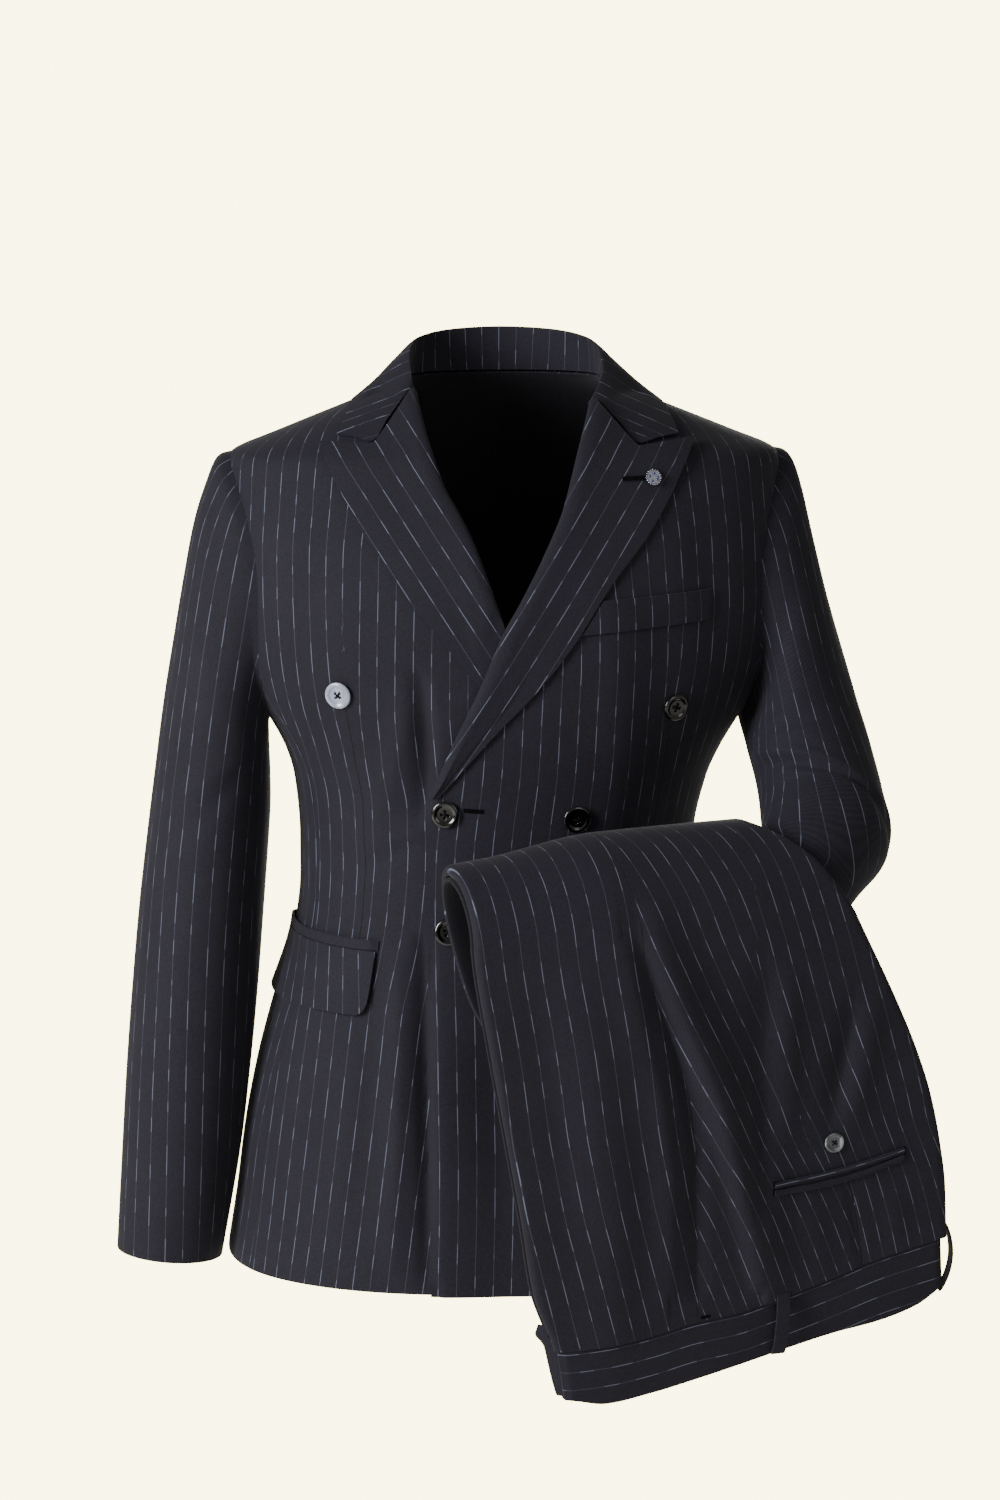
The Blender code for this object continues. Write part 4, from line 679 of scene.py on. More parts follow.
def lapel(u, v, roll, outer, top, surface, covered):
    """Turned-back lapel: u from behind the roll line to the outer edge, v from the bottom to the top."""
    inner_point, outer_point = smooth_line(roll, 1 - v), smooth_line(outer, 1 - v)
    across = outer_point - inner_point
    width = np.linalg.norm(across, axis=-1)
    tight = np.minimum(1, width / TIGHT_WIDTH)
    lengths, lifts = np.array(ROLL).T
    number, rolled, rest = u * LAPEL_COLUMNS, len(ROLL) - 1, LAPEL_COLUMNS + 1 - len(ROLL)
    near = spline(lengths[:, None], np.minimum(number, rolled) / rolled)[..., 0]
    near = np.where(near > 0, near * tight, near)
    last = lengths[-1] * tight
    far = last + (width - last) * np.clip((number - rolled) / rest, 0, 1)
    distance = np.where(number <= rolled, near, far)
    lift = spline(np.r_[lifts, np.full(rest, LAPEL_FLAT)][:, None], number / LAPEL_COLUMNS)[..., 0]
    point = inner_point + across / width[..., None] * distance[..., None]
    # the top edge bends down into the notch and up to the peak
    top = np.array(top)
    fraction = np.clip(distance / width, 0, 1)
    straight = top[0] + (top[2] - top[0]) * fraction[..., None]
    notch = (top[1] - top[0])[0] / (top[2] - top[0])[0]
    bend = np.stack([np.interp(fraction, [0, notch, 1], line) for line in top.T], -1) - straight
    point = point + bend * (v ** 4)[..., None]
    point[..., 1] -= NOTCH_GAP
    x, z = point[..., 0], point[..., 1]
    lift = lift + np.where(lift > 0, PEAK_LIFT * ease(PEAK_FROM, PEAK_TO, z), 0.0)
    if covered:
        clear = ease(COVER_FROM, COVER_TO, column(LEFT_EDGE, 1, z) - x)
        lift = np.where(lift > 0, lift * clear + np.minimum(lift, LAPEL_FLAT) * (1 - clear), lift)
    return surface(x, z, lift), point


def off_line(point, line):
    """Signed distance in the plane of x and height from a straight line, and the run along it."""
    a, b = np.asarray(line)
    way = (b - a) / np.linalg.norm(b - a)
    off = point - a
    return off[..., 0] * way[1] - off[..., 1] * way[0], off @ way


LAPEL_GRID = (54, 150)
u, v = grid(*LAPEL_GRID)
for side, roll, outer, top, surface, stripe in (
        ("left", LEFT_ROLL, LEFT_OUTER, LEFT_TOP, left_front, LEFT_LAPEL_STRIPE),
        ("right", RIGHT_ROLL, RIGHT_OUTER, RIGHT_TOP, right_front, RIGHT_LAPEL_STRIPE)):
    under = side == "right"
    spots, flat = lapel(u, v, roll, outer, top, surface, under)
    across, along = off_line(flat, stripe)
    cloth_piece(side + "_lapel", spots, across, LAYER_WALL, flip=under, along=along,
                inner=WOOL)
show_sizes("left_lapel", "right_lapel")

# %% Collar
COLLAR_FRONT_RIGHT = [(-0.0712, 0.0018, -0.0020), (-0.0752, 0.0026, 0.0044), (-0.1070, -0.0335, 0.0034),
                      (-0.1350, -0.0300, 0.0034)]
COLLAR_FRONT_LEFT = [(0.0618, -0.0045, -0.0020), (0.0662, -0.0038, 0.0044), (0.0980, -0.0360, 0.0034),
                     (0.1320, -0.0312, 0.0034)]
# foot x y z, fold x y z, middle of the fall x y z, then its edge as angle round the body, height, lift
COLLAR_HALF = [
    (0.0738, -0.0340, 0.0055, 0.0762, -0.0340, 0.0160, 0.1035, -0.0330, -0.0030, 59.0, -0.0185, 0.0032),
    (0.0752, -0.0180, 0.0098, 0.0765, -0.0180, 0.0270, 0.1010, -0.0170, 0.0095, 80.0, -0.0085, 0.0034),
    (0.0765, 0.0000, 0.0114, 0.0740, 0.0000, 0.0355, 0.0940, 0.0010, 0.0185, 91.0, -0.0040, 0.0036),
    (0.0700, 0.0285, 0.0114, 0.0660, 0.0260, 0.0410, 0.0855, 0.0300, 0.0215, 113.0, -0.0035, 0.0036),
    (0.0470, 0.0500, 0.0114, 0.0420, 0.0490, 0.0450, 0.0575, 0.0580, 0.0235, 143.0, -0.0045, 0.0036),
]
COLLAR_BACK = (0.0, 0.0590, 0.0114, 0.0, 0.0605, 0.0465, 0.0, 0.0700, 0.0235, 180.0, -0.0055, 0.0036)
COLLAR_CLEAR = 0.0032
COLLAR_GRID = (170, 44)
STAND_BEND, STAND_IN = 0.78, 0.0004     # where the stand bends into the fold, and how far inside
FALL_BEND, FALL_OUT = 0.20, 0.0016      # where the fold bends into the fall, and how far outside
FOLD_PLACE = 3 / 8                      # of the way from the stand's foot to the fall's edge
FOLD_BLUR = 0.0025                      # the stripes turn from one stretch of the fold to the next over this


def push_out(point, clear):
    """Moves points that lie under the body surface, or nearer than clear, out along its slope."""
    def depth(p):
        z = p[..., 2]
        deep = np.where(p[..., 1] < 0, -body_size(2, z), body_size(3, z))
        across = np.abs(p[..., 0] - body_size(4, z)) / body_size(1, z)
        return (across ** ROUNDNESS + (np.abs(p[..., 1]) / deep) ** ROUNDNESS) ** (1 / ROUNDNESS)

    point, step = np.array(point), 0.0004
    for _ in range(4):
        slope = np.stack([(depth(point + step * axis) - depth(point - step * axis)) / (2 * step)
                          for axis in np.eye(3)], -1)
        size = np.linalg.norm(slope, axis=-1)
        short = np.clip(clear - (depth(point) - 1) / size, 0, None)
        point += slope / size[..., None] * short[..., None]
    return point


def collar_rows():
    def front_row(points, surface):
        return [surface(*point) for point in points]

    def neck_row(row, side):
        way = np.array([side, 1.0, 1.0])
        return [row[0:3] * way, row[3:6] * way, row[6:9] * way, body(side * row[9], row[10], row[11])]

    half = np.array(COLLAR_HALF)
    rows = [front_row(COLLAR_FRONT_RIGHT, right_front)] + [neck_row(row, -1) for row in half]
    rows += [neck_row(np.array(COLLAR_BACK), 1)] + [neck_row(row, 1) for row in half[::-1]]
    return np.array(rows + [front_row(COLLAR_FRONT_LEFT, left_front)])


def collar(u, v):
    """u round the neck from right to left, v from the foot of the stand over the fold to the edge of the fall."""
    rows = spline(collar_rows().reshape(len(COLLAR_HALF) * 2 + 3, -1), u).reshape(*u.shape, 4, 3)
    foot, fold, middle, edge = (rows[..., i, :] for i in range(4))
    out = (middle - fold) * [1.0, 1.0, 0.0]
    out /= np.linalg.norm(out, axis=-1, keepdims=True)
    inner = foot + (fold - foot) * STAND_BEND - out * STAND_IN
    outer = fold + (middle - fold) * FALL_BEND + out * FALL_OUT
    profile = np.stack([foot, (foot + inner) / 2, inner, fold, outer, (outer + middle) / 2, middle,
                        (middle + edge) / 2, edge], 0)
    last = len(profile) - 1
    t = np.clip(v, 0, 1) * last
    k = np.clip(np.floor(t).astype(int), 0, last - 1)
    r, c = np.indices(u.shape)
    made = between(profile[np.maximum(k - 1, 0), r, c], profile[k, r, c], profile[k + 1, r, c],
                   profile[np.minimum(k + 2, last), r, c], (t - k)[..., None])
    # only the fall has to clear the shoulders
    return made + (push_out(made, COLLAR_CLEAR) - made) * ease(4.0, 5.0, t)[..., None]


def along_fold(spots, fold):
    """Run along the near part of a fold line, smoothly, and the distance from it."""
    a, b = fold[:-1], fold[1:]
    way = b - a
    lengths = np.linalg.norm(way, axis=-1)
    start = np.concatenate([[0], np.cumsum(lengths)[:-1]])
    off = spots[..., None, :] - a
    t = np.clip((off * way).sum(-1) / lengths**2, 0, 1)
    gap = np.linalg.norm(off - t[..., None] * way, axis=-1)
    nearness = np.exp((gap.min(-1, keepdims=True) - gap) / FOLD_BLUR)
    return ((start + t * lengths) * nearness).sum(-1) / nearness.sum(-1), gap.min(-1)


def on_roll(roll, surface):
    """The crest of a lapel's roll."""
    return surface(*np.array(roll).T, ROLL[2][1])


u, v = grid(*COLLAR_GRID)
spots = collar(u, v)
round_neck = np.linspace(0.01, 0.99, 90)[None]
fold = np.concatenate([on_roll(RIGHT_ROLL, right_front)[1:8][::-1], collar(round_neck, 0 * round_neck + FOLD_PLACE)[0],
                       on_roll(LEFT_ROLL, left_front)[1:6]])
across, along = along_fold(spots, fold)
middle = across[:, COLLAR_GRID[0] // 2].mean()
cloth_piece("top_collar", spots, across - middle, LAYER_WALL, along=along,
            inner=WOOL)
show_sizes("top_collar")

# %% [markdown]
# ## Sleeves
#
# Each sleeve is cut in two pieces, a wide top sleeve and a narrow under sleeve, joined by two long seams. It leaves
# the armhole as an oval ring and narrows to the cuff. The right one hangs almost straight; the left one bends at the
# elbow and carries the trousers, so its cloth folds inside the bend.

# %% Sleeves
# outer x y z, inner x y z, half depth, share of the armhole shape
STRAIGHT_SLEEVE = [
    (0.2208, 0.000, -0.0470, 0.1888, 0.000, -0.2620, 0.064, 1.00),
    (0.2318, 0.000, -0.0515, 0.1893, 0.000, -0.2625, 0.064, 0.90),
    (0.2400, 0.000, -0.0700, 0.1896, 0.000, -0.2640, 0.065, 0.70),
    (0.2500, 0.000, -0.1030, 0.1900, 0.000, -0.2680, 0.066, 0.45),
    (0.2585, 0.000, -0.1480, 0.1900, 0.000, -0.2750, 0.066, 0.25),
    (0.2670, 0.000, -0.1990, 0.1900, 0.000, -0.2870, 0.066, 0.10),
    (0.2750, -0.001, -0.2480, 0.1895, -0.001, -0.3050, 0.065, 0.00),
    (0.2820, -0.002, -0.2980, 0.1895, -0.002, -0.3330, 0.064, 0.00),
    (0.2890, -0.003, -0.3500, 0.1920, -0.003, -0.3700, 0.063, 0.00),
    (0.2965, -0.004, -0.4100, 0.1960, -0.004, -0.4200, 0.061, 0.00),
    (0.3030, -0.006, -0.4750, 0.2010, -0.006, -0.4800, 0.058, 0.00),
    (0.3090, -0.009, -0.5460, 0.2080, -0.009, -0.5480, 0.054, 0.00),
    (0.3140, -0.012, -0.6200, 0.2170, -0.012, -0.6180, 0.050, 0.00),
    (0.3190, -0.015, -0.6985, 0.2330, -0.015, -0.7060, 0.046, 0.00),
]
BENT_SLEEVE = [
    (0.2208, 0.000, -0.0470, 0.1888, 0.000, -0.2620, 0.064, 1.00),
    (0.2318, 0.000, -0.0515, 0.1893, -0.002, -0.2625, 0.064, 0.90),
    (0.2392, -0.004, -0.0725, 0.1896, -0.006, -0.2640, 0.064, 0.70),
    (0.2477, -0.012, -0.1124, 0.1900, -0.012, -0.2670, 0.064, 0.45),
    (0.2582, -0.025, -0.1591, 0.1903, -0.024, -0.2720, 0.063, 0.25),
    (0.2697, -0.042, -0.2089, 0.1915, -0.040, -0.2800, 0.061, 0.10),
    (0.2776, -0.058, -0.2430, 0.1930, -0.055, -0.2900, 0.058, 0.00),
    (0.2853, -0.072, -0.2722, 0.1945, -0.072, -0.3000, 0.056, 0.00),
    (0.2923, -0.088, -0.3076, 0.1962, -0.092, -0.3105, 0.053, 0.00),
    (0.2960, -0.104, -0.3371, 0.1972, -0.110, -0.3175, 0.050, 0.00),
    (0.2954, -0.119, -0.3553, 0.1975, -0.127, -0.3215, 0.047, 0.00),
    (0.2861, -0.131, -0.3725, 0.1970, -0.137, -0.3240, 0.045, 0.00),
    (0.2642, -0.145, -0.3908, 0.1955, -0.146, -0.3268, 0.045, 0.00),
    (0.2393, -0.156, -0.4164, 0.1925, -0.155, -0.3298, 0.045, 0.00),
    (0.2135, -0.164, -0.4330, 0.1860, -0.163, -0.3345, 0.047, 0.00),
    (0.1570, -0.173, -0.4370, 0.1570, -0.173, -0.3370, 0.049, 0.00),
    (0.0990, -0.189, -0.4380, 0.0990, -0.189, -0.3385, 0.049, 0.00),
    (0.0410, -0.204, -0.4370, 0.0410, -0.204, -0.3440, 0.046, 0.00),
    (-0.0218, -0.221, -0.4360, -0.0218, -0.221, -0.3530, 0.042, 0.00),
]
FRONT_SLEEVE_SEAM, BACK_SLEEVE_SEAM = 125.0, 235.0
RIGHT_SLEEVE_STRIPE, LEFT_SLEEVE_STRIPE = 0.0085, 0.0058
# folds of the sleeves: path of turn in thousands of degrees, run along the sleeve
BENT_FOLDS = [
    ([(0.150, 0.300), (0.100, 0.345), (0.060, 0.385), (0.025, 0.410)], 0.010, -0.0030),
    ([(0.150, 0.270), (0.110, 0.310), (0.070, 0.345)], 0.010, 0.0026),
    ([(0.140, 0.215), (0.105, 0.255), (0.075, 0.270)], 0.012, -0.0022),
    ([(-0.010, 0.180), (0.010, 0.260), (0.015, 0.320)], 0.014, 0.0016),
]
STRAIGHT_FOLDS = [
    ([(0.030, 0.120), (0.055, 0.200), (0.070, 0.300)], 0.014, 0.0016),
    ([(0.110, 0.330), (0.085, 0.380), (0.050, 0.410)], 0.011, -0.0018),
    ([(0.120, 0.300), (0.090, 0.345), (0.055, 0.370)], 0.010, 0.0014),
    ([(0.045, 0.450), (0.055, 0.560)], 0.016, -0.0012),
]
FORWARD = np.array([0.0, -1.0, 0.0])
TANGENT_REACH = 0.02
SQUARE_TO_SLEEVE = (0.15, 0.45)      # the sections turn square to the sleeve over this share of it


def armhole(turn, side):
    return body(side * (90 - ARMHOLE_ANGLE * np.sin(turn)), ARMHOLE_MID + ARMHOLE_HALF * np.cos(turn))


def sleeve(turn, along, rings, side, lift=0.0):
    """Sleeve surface: turn round it in degrees from the outer line toward the front, along from 0 to 1."""
    turn = np.radians(turn)
    ring = spline(rings, along)
    outer, inner, share = ring[..., 0:3], ring[..., 3:6], ring[..., 7:8]
    ahead = spline(rings, np.minimum(along + TANGENT_REACH, 1))
    behind = spline(rings, np.maximum(along - TANGENT_REACH, 0))
    tangent = ahead[..., 0:3] + ahead[..., 3:6] - behind[..., 0:3] - behind[..., 3:6]
    half = (outer - inner) / 2
    depth_way = np.cross(tangent, half)
    depth_way /= np.linalg.norm(depth_way, axis=-1, keepdims=True)
    lower = ease(*SQUARE_TO_SLEEVE, along)[..., None]
    depth_way = depth_way * lower + FORWARD * (1 - lower)
    depth_way /= np.linalg.norm(depth_way, axis=-1, keepdims=True)
    middle = (outer + inner) / 2
    cos, sin = np.cos(turn)[..., None], np.sin(turn)[..., None]
    unit = half / np.linalg.norm(half, axis=-1, keepdims=True)
    lift = np.asarray(lift, float)[..., None]
    plain = middle + (half + unit * lift) * cos + depth_way * (ring[..., 6:7] + lift) * sin
    first = np.asarray(rings[0], float)
    first_middle, first_half = (first[0:3] + first[3:6]) / 2, (first[0:3] - first[3:6]) / 2
    at_top = first_middle + first_half * cos + FORWARD * first[6] * sin
    mirrored = np.array([side, 1.0, 1.0])
    return (plain + share * (armhole(turn, side) * mirrored - at_top)) * mirrored


ROUND_STEPS = 36


def sleeve_girth(turn, along, rings, side):
    """Length round the sleeve from its outer line."""
    share = np.linspace(0, 1, ROUND_STEPS + 1).reshape(-1, *([1] * turn.ndim))
    line = sleeve(turn * share, np.broadcast_to(along, (ROUND_STEPS + 1, *along.shape)), rings, side)
    return np.sign(turn) * np.linalg.norm(np.diff(line, axis=0), axis=-1).sum(0)


# The cloth's stripes hang straight from the shoulder, whatever way the armhole cuts it. So on the upper sleeve they
# are measured round level sections: height, outer x, middle y, half width, half depth
STRAIGHT_LEVELS = [
    (-0.047, 0.2260, 0.000, 0.0480, 0.064), (-0.103, 0.2500, 0.000, 0.0480, 0.064),
    (-0.199, 0.2670, 0.000, 0.0475, 0.065), (-0.298, 0.2820, -0.002, 0.0465, 0.064),
    (-0.410, 0.2965, -0.004, 0.0500, 0.061), (-0.546, 0.3090, -0.009, 0.0505, 0.054),
    (-0.706, 0.3190, -0.015, 0.0450, 0.046),
]
BENT_LEVELS = [
    (-0.047, 0.2230, 0.000, 0.0460, 0.062), (-0.1124, 0.2477, -0.012, 0.0480, 0.063),
    (-0.1591, 0.2582, -0.025, 0.0490, 0.063), (-0.2089, 0.2697, -0.042, 0.0500, 0.062),
    (-0.2722, 0.2853, -0.072, 0.0520, 0.060), (-0.3371, 0.2985, -0.105, 0.0540, 0.058),
    (-0.4400, 0.3170, -0.150, 0.0580, 0.058),
]
# the shares of a sleeve between which its stripes go over to its own sections: never on the straight one
STRAIGHT_LOWER, BENT_LOWER = (2.0, 3.0), (0.66, 0.78)
LEVEL_RADIUS = 0.056


def level_girth(spots, levels, side):
    """Length round a level section from its outer line."""
    outer, middle, wide, deep = (column(levels, k, spots[..., 2]) for k in range(1, 5))
    angle = np.arctan2((middle - spots[..., 1]) / deep, (side * spots[..., 0] - outer + wide) / wide)
    middles = (np.arange(ROUND_STEPS)[:, None, None] + 0.5) / ROUND_STEPS
    return np.hypot(wide * np.sin(angle * middles), deep * np.cos(angle * middles)).mean(0) * angle


# %% Top and under sleeves
TOP_GRID, UNDER_GRID = (72, 180), (34, 160)
for side, name, rings, levels, folds, stripe, lower in (
        (-1, "right", STRAIGHT_SLEEVE, STRAIGHT_LEVELS, STRAIGHT_FOLDS, RIGHT_SLEEVE_STRIPE, STRAIGHT_LOWER),
        (1, "left", BENT_SLEEVE, BENT_LEVELS, BENT_FOLDS, LEFT_SLEEVE_STRIPE, BENT_LOWER)):
    length = np.linalg.norm(np.diff(spline(rings, np.linspace(0, 1, 200))[:, 0:3], axis=0), axis=-1).sum()
    for part, first, last, size in (("top", BACK_SLEEVE_SEAM - 360, FRONT_SLEEVE_SEAM, TOP_GRID),
                                    ("under", FRONT_SLEEVE_SEAM, BACK_SLEEVE_SEAM, UNDER_GRID)):
        u, v = grid(*size)
        turn, along = first + (last - first) * u, 1 - v
        spots = sleeve(turn, along, rings, side, fold_height(folds, turn / 1000, along * length))
        share = ease(*lower, along)
        level = level_girth(spots, levels, side)
        if part == "under":
            level = np.where(level < 0, level + 2 * math.pi * LEVEL_RADIUS, level)
        across = level * (1 - share) + sleeve_girth(turn, along, rings, side) * share - stripe
        cloth_piece(f"{name}_sleeve_{part}", spots, across, WALL, flip=side > 0)
show_sizes("right_sleeve_top", "right_sleeve_under", "left_sleeve_top", "left_sleeve_under")

# %% [markdown]
# ## Pockets of the jacket
#
# A hip pocket is a slit with a narrow jetting above and a flap below it. The breast pocket is a welt, a narrow folded
# strip that leans up toward the armhole. Their stripes are matched to the front's.

# %% Flaps and jettings
FLAP_FRONT_ANGLE, FLAP_BACK_ANGLE = 38.6, 97.0
FLAP_TOP, FLAP_BOTTOM, FLAP_CORNER = -0.4340, -0.4850, 0.010
FLAP_LIFT_TOP, FLAP_LIFT_BOTTOM = 0.0036, 0.0050
FLAP_END_LIFT = 0.25      # share of the lift that is left at a flap's back end, where it goes into the seam
FLAP_STRIPE = 0.1500
HIP_RADIUS = 0.165
JETTING_TOP, JETTING_BOTTOM, JETTING_LIFT, JETTING_WALL = -0.4255, -0.4333, 0.0036, 0.0022
JETTING_AHEAD, JETTING_END_LIFT = 0.7, 0.35


def pocket_lift(angle, z, side):
    x = side_x(side * angle, z)
    return (overlap_height(x, z) if side > 0 else 0.0) + fold_height(JACKET_FOLDS, x, z)


for side, name in ((1, "left"), (-1, "right")):
    u, v = grid(70, 24)
    angle = FLAP_FRONT_ANGLE + (FLAP_BACK_ANGLE - FLAP_FRONT_ANGLE) * u
    spare = np.clip(FLAP_CORNER - (angle - FLAP_FRONT_ANGLE) * math.radians(1) * HIP_RADIUS, 0, FLAP_CORNER)
    bottom = FLAP_BOTTOM + FLAP_CORNER - np.sqrt(FLAP_CORNER**2 - spare**2)
    z = bottom + (FLAP_TOP - bottom) * v
    lift = FLAP_LIFT_BOTTOM + (FLAP_LIFT_TOP - FLAP_LIFT_BOTTOM) * v
    lift = lift * (FLAP_END_LIFT + (1 - FLAP_END_LIFT) * ease(0.0, 0.08, 1 - u))
    spots = body(side * angle, z, lift + pocket_lift(angle, z, side))
    across = girth(side * angle, z) - side * FLAP_STRIPE
    cloth_piece(name + "_hip_flap", spots, across, WALL, flip=side < 0)
    u, v = grid(70, 6)
    angle = FLAP_FRONT_ANGLE - JETTING_AHEAD + (FLAP_BACK_ANGLE - FLAP_FRONT_ANGLE + JETTING_AHEAD) * u
    z = JETTING_BOTTOM + (JETTING_TOP - JETTING_BOTTOM) * v
    lift = JETTING_LIFT * (JETTING_END_LIFT + (1 - JETTING_END_LIFT) * ease(0.0, 0.05, np.minimum(u, 1 - u)))
    spots = body(side * angle, z, lift + pocket_lift(angle, z, side))
    cloth_piece(name + "_hip_jetting", spots, z - JETTING_BOTTOM + STRIPE_PITCH / 5, JETTING_WALL, flip=side < 0)
show_sizes("right_hip_flap", "right_hip_jetting")

# %% Breast welt
WELT_CORNERS = np.array([(0.0500, -0.1798), (0.155, -0.172), (0.157, -0.148), (0.0672, -0.1535)])
WELT_LIFT, WELT_WALL = 0.0023, 0.0018
u, v = grid(60, 18)
low = WELT_CORNERS[0] + (WELT_CORNERS[1] - WELT_CORNERS[0]) * u[..., None]
high = WELT_CORNERS[3] + (WELT_CORNERS[2] - WELT_CORNERS[3]) * u[..., None]
x, z = np.moveaxis(low + (high - low) * v[..., None], -1, 0)
across = girth(angle_at(x, z), z) - column(LEFT_GUIDE, 1, z)
cloth_piece("breast_welt", left_front(x, z, WELT_LIFT), across, WELT_WALL)
show_sizes("breast_welt")

# %% [markdown]
# ## Trousers over the bent sleeve
#
# The trousers hang over the sleeve with the waistband down. A front and a back panel of the upper leg show, joined at
# the side seam. Behind the sleeve the legs turn up once. Their place along the drape is a step: 0 at the waist, 1 to 2
# over the sleeve, 3 at the turn behind, 4 to 5 back up. Across it, h is measured along the sleeve toward the elbow.

# %% The drape
DRAPE_X, DRAPE_Y, DRAPE_ANGLE = 0.215, -0.158, math.radians(14.8)      # the lower sleeve's axis, at h = 0
# h, axis height, radius of the outer cloth
ARCH = [(-0.300, -0.3950, 0.0500), (-0.250, -0.3945, 0.0550), (-0.160, -0.3890, 0.0640), (-0.060, -0.3860, 0.0640),
        (0.000, -0.3850, 0.0640), (0.120, -0.3850, 0.0640)]
# height, h
HANG_LEFT = [(-0.760, -0.2060), (-0.714, -0.2150), (-0.667, -0.2313), (-0.616, -0.2395), (-0.525, -0.2556),
             (-0.476, -0.2644), (-0.395, -0.2770), (-0.340, -0.2800)]
HANG_RIGHT = [(-0.760, 0.1090), (-0.688, 0.1083), (-0.657, 0.1068), (-0.619, 0.1052), (-0.582, 0.1001),
              (-0.541, 0.0916), (-0.499, 0.0780), (-0.451, 0.0575), (-0.385, 0.0250)]
# step, h
BACK_LEFT = [(1.0, -0.2770), (1.5, -0.2800), (2.0, -0.2670), (2.5, -0.2530), (3.0, -0.2300), (4.2, -0.2350)]
BACK_RIGHT = [(1.0, 0.0250), (1.2, 0.0000), (1.5, -0.0400), (2.0, -0.0500), (3.0, -0.0550), (4.2, -0.0550)]
BACK_BOTTOM, TURN_RADIUS, BACK_LEAN, TURN_TOP = -0.512, 0.0145, 0.022, -0.452
BEHIND_LENGTH = 0.12      # from over the sleeve down to the turn, for the stripes
# h, top height, bottom height
BAND = [(-0.222, -0.7140, -0.7540), (-0.207, -0.7140, -0.7540), (-0.178, -0.7125, -0.7584),
        (-0.140, -0.7076, -0.7536), (-0.103, -0.7002, -0.7464), (-0.069, -0.6964, -0.7390),
        (-0.034, -0.6880, -0.7309), (0.012, -0.6755, -0.7210), (0.050, -0.6640, -0.7151),
        (0.082, -0.6570, -0.7060), (0.108, -0.6518, -0.6900)]
SIDE_SEAM = [(-0.760, -0.1014), (-0.694, -0.1014), (-0.605, -0.1022), (-0.534, -0.1061), (-0.497, -0.1146),
             (-0.453, -0.1314), (-0.409, -0.1463), (-0.381, -0.1500)]
SIDE_SEAM_BACK = [(1.0, -0.1500), (1.5, -0.1650), (3.0, -0.1700)]
PANEL_WALL = 0.0018       # trouser cloth with its lining
PANEL_STEPS = [0, 0.12, 0.24, 0.36, 0.48, 0.6, 0.72, 0.84, 0.94, 1.0, 1.12, 1.25, 1.38, 1.5, 1.62, 1.75, 1.88,
               2.0, 2.25, 2.6, 2.92]
# how a panel turns round the layers at its outer edge: depth, inset from the edge
EDGE_WRAP = [(-0.0060, 0.0014), (-0.0036, 0.0000), (-0.0012, 0.0006), (0.0, 0.0026)]
WRAP_COLUMNS = 9
# path of h, height; half width; depth outward; half width on the other side
TROUSER_FOLDS = [
    ([(-0.148, -0.382), (-0.126, -0.440), (-0.104, -0.488), (-0.090, -0.523), (-0.073, -0.580), (-0.061, -0.625),
      (-0.050, -0.672)], 0.024, 0.0108, 0.0078),
    ([(-0.166, -0.400), (-0.152, -0.460), (-0.137, -0.520), (-0.128, -0.580), (-0.127, -0.670)], 0.0095, 0.0046, 0.018),
    ([(-0.150, -0.385), (-0.141, -0.420), (-0.122, -0.474), (-0.110, -0.522), (-0.1035, -0.562), (-0.1035, -0.603),
      (-0.102, -0.672)], 0.0065, -0.0046, 0.0075),
    ([(-0.196, -0.430), (-0.182, -0.520), (-0.172, -0.610), (-0.170, -0.700)], 0.020, 0.0030),
    ([(-0.150, -0.470), (-0.140, -0.560), (-0.138, -0.660)], 0.012, -0.0016),
    ([(-0.232, -0.440), (-0.215, -0.540), (-0.205, -0.640)], 0.014, -0.0014),
    ([(-0.046, -0.430), (-0.050, -0.500), (-0.052, -0.560), (-0.050, -0.610)], 0.008, -0.0042, 0.016),
    ([(-0.028, -0.440), (-0.030, -0.500), (-0.031, -0.560)], 0.010, 0.0028),
    ([(0.026, -0.462), (0.019, -0.500), (0.010, -0.545)], 0.007, -0.0042, 0.012),
    ([(0.042, -0.462), (0.036, -0.500), (0.026, -0.552)], 0.011, 0.0030),
    ([(0.0226, -0.597), (0.028, -0.630), (0.0365, -0.669)], 0.0035, -0.0016),
    ([(0.060, -0.610), (0.066, -0.650)], 0.010, 0.0014),
    ([(-0.010, -0.606), (-0.004, -0.640), (0.002, -0.670)], 0.012, 0.0014),
]
# Stripe guides: straightened height, h
FRONT_GUIDE = [
    (-0.720, -0.196), (-0.673, -0.208), (-0.641, -0.216), (-0.608, -0.224), (-0.576, -0.230), (-0.544, -0.236),
    (-0.514, -0.240), (-0.482, -0.2445), (-0.450, -0.250), (-0.420, -0.2555), (-0.389, -0.2595), (-0.357, -0.2625),
    (-0.250, -0.268), (0.100, -0.272),
]
BACK_GUIDE = [
    (-0.720, 0.022), (-0.660, -0.002), (-0.626, -0.016), (-0.593, -0.032), (-0.560, -0.050), (-0.525, -0.066),
    (-0.492, -0.082), (-0.459, -0.099), (-0.427, -0.114), (-0.396, -0.128), (-0.364, -0.140), (-0.328, -0.152),
    (-0.250, -0.168), (0.100, -0.172),
]
SEAT_GUIDE = [
    (-0.720, 0.078), (-0.634, 0.058), (-0.600, 0.048), (-0.567, 0.035), (-0.533, 0.021), (-0.500, 0.009),
    (-0.469, 0.000), (-0.435, -0.010), (-0.403, -0.019), (-0.371, -0.029), (-0.339, -0.036), (-0.250, -0.052),
    (0.100, -0.056),
]
SEAT_STRIPES_ON = 6       # the seat's guide is this many stripes from the back panel's
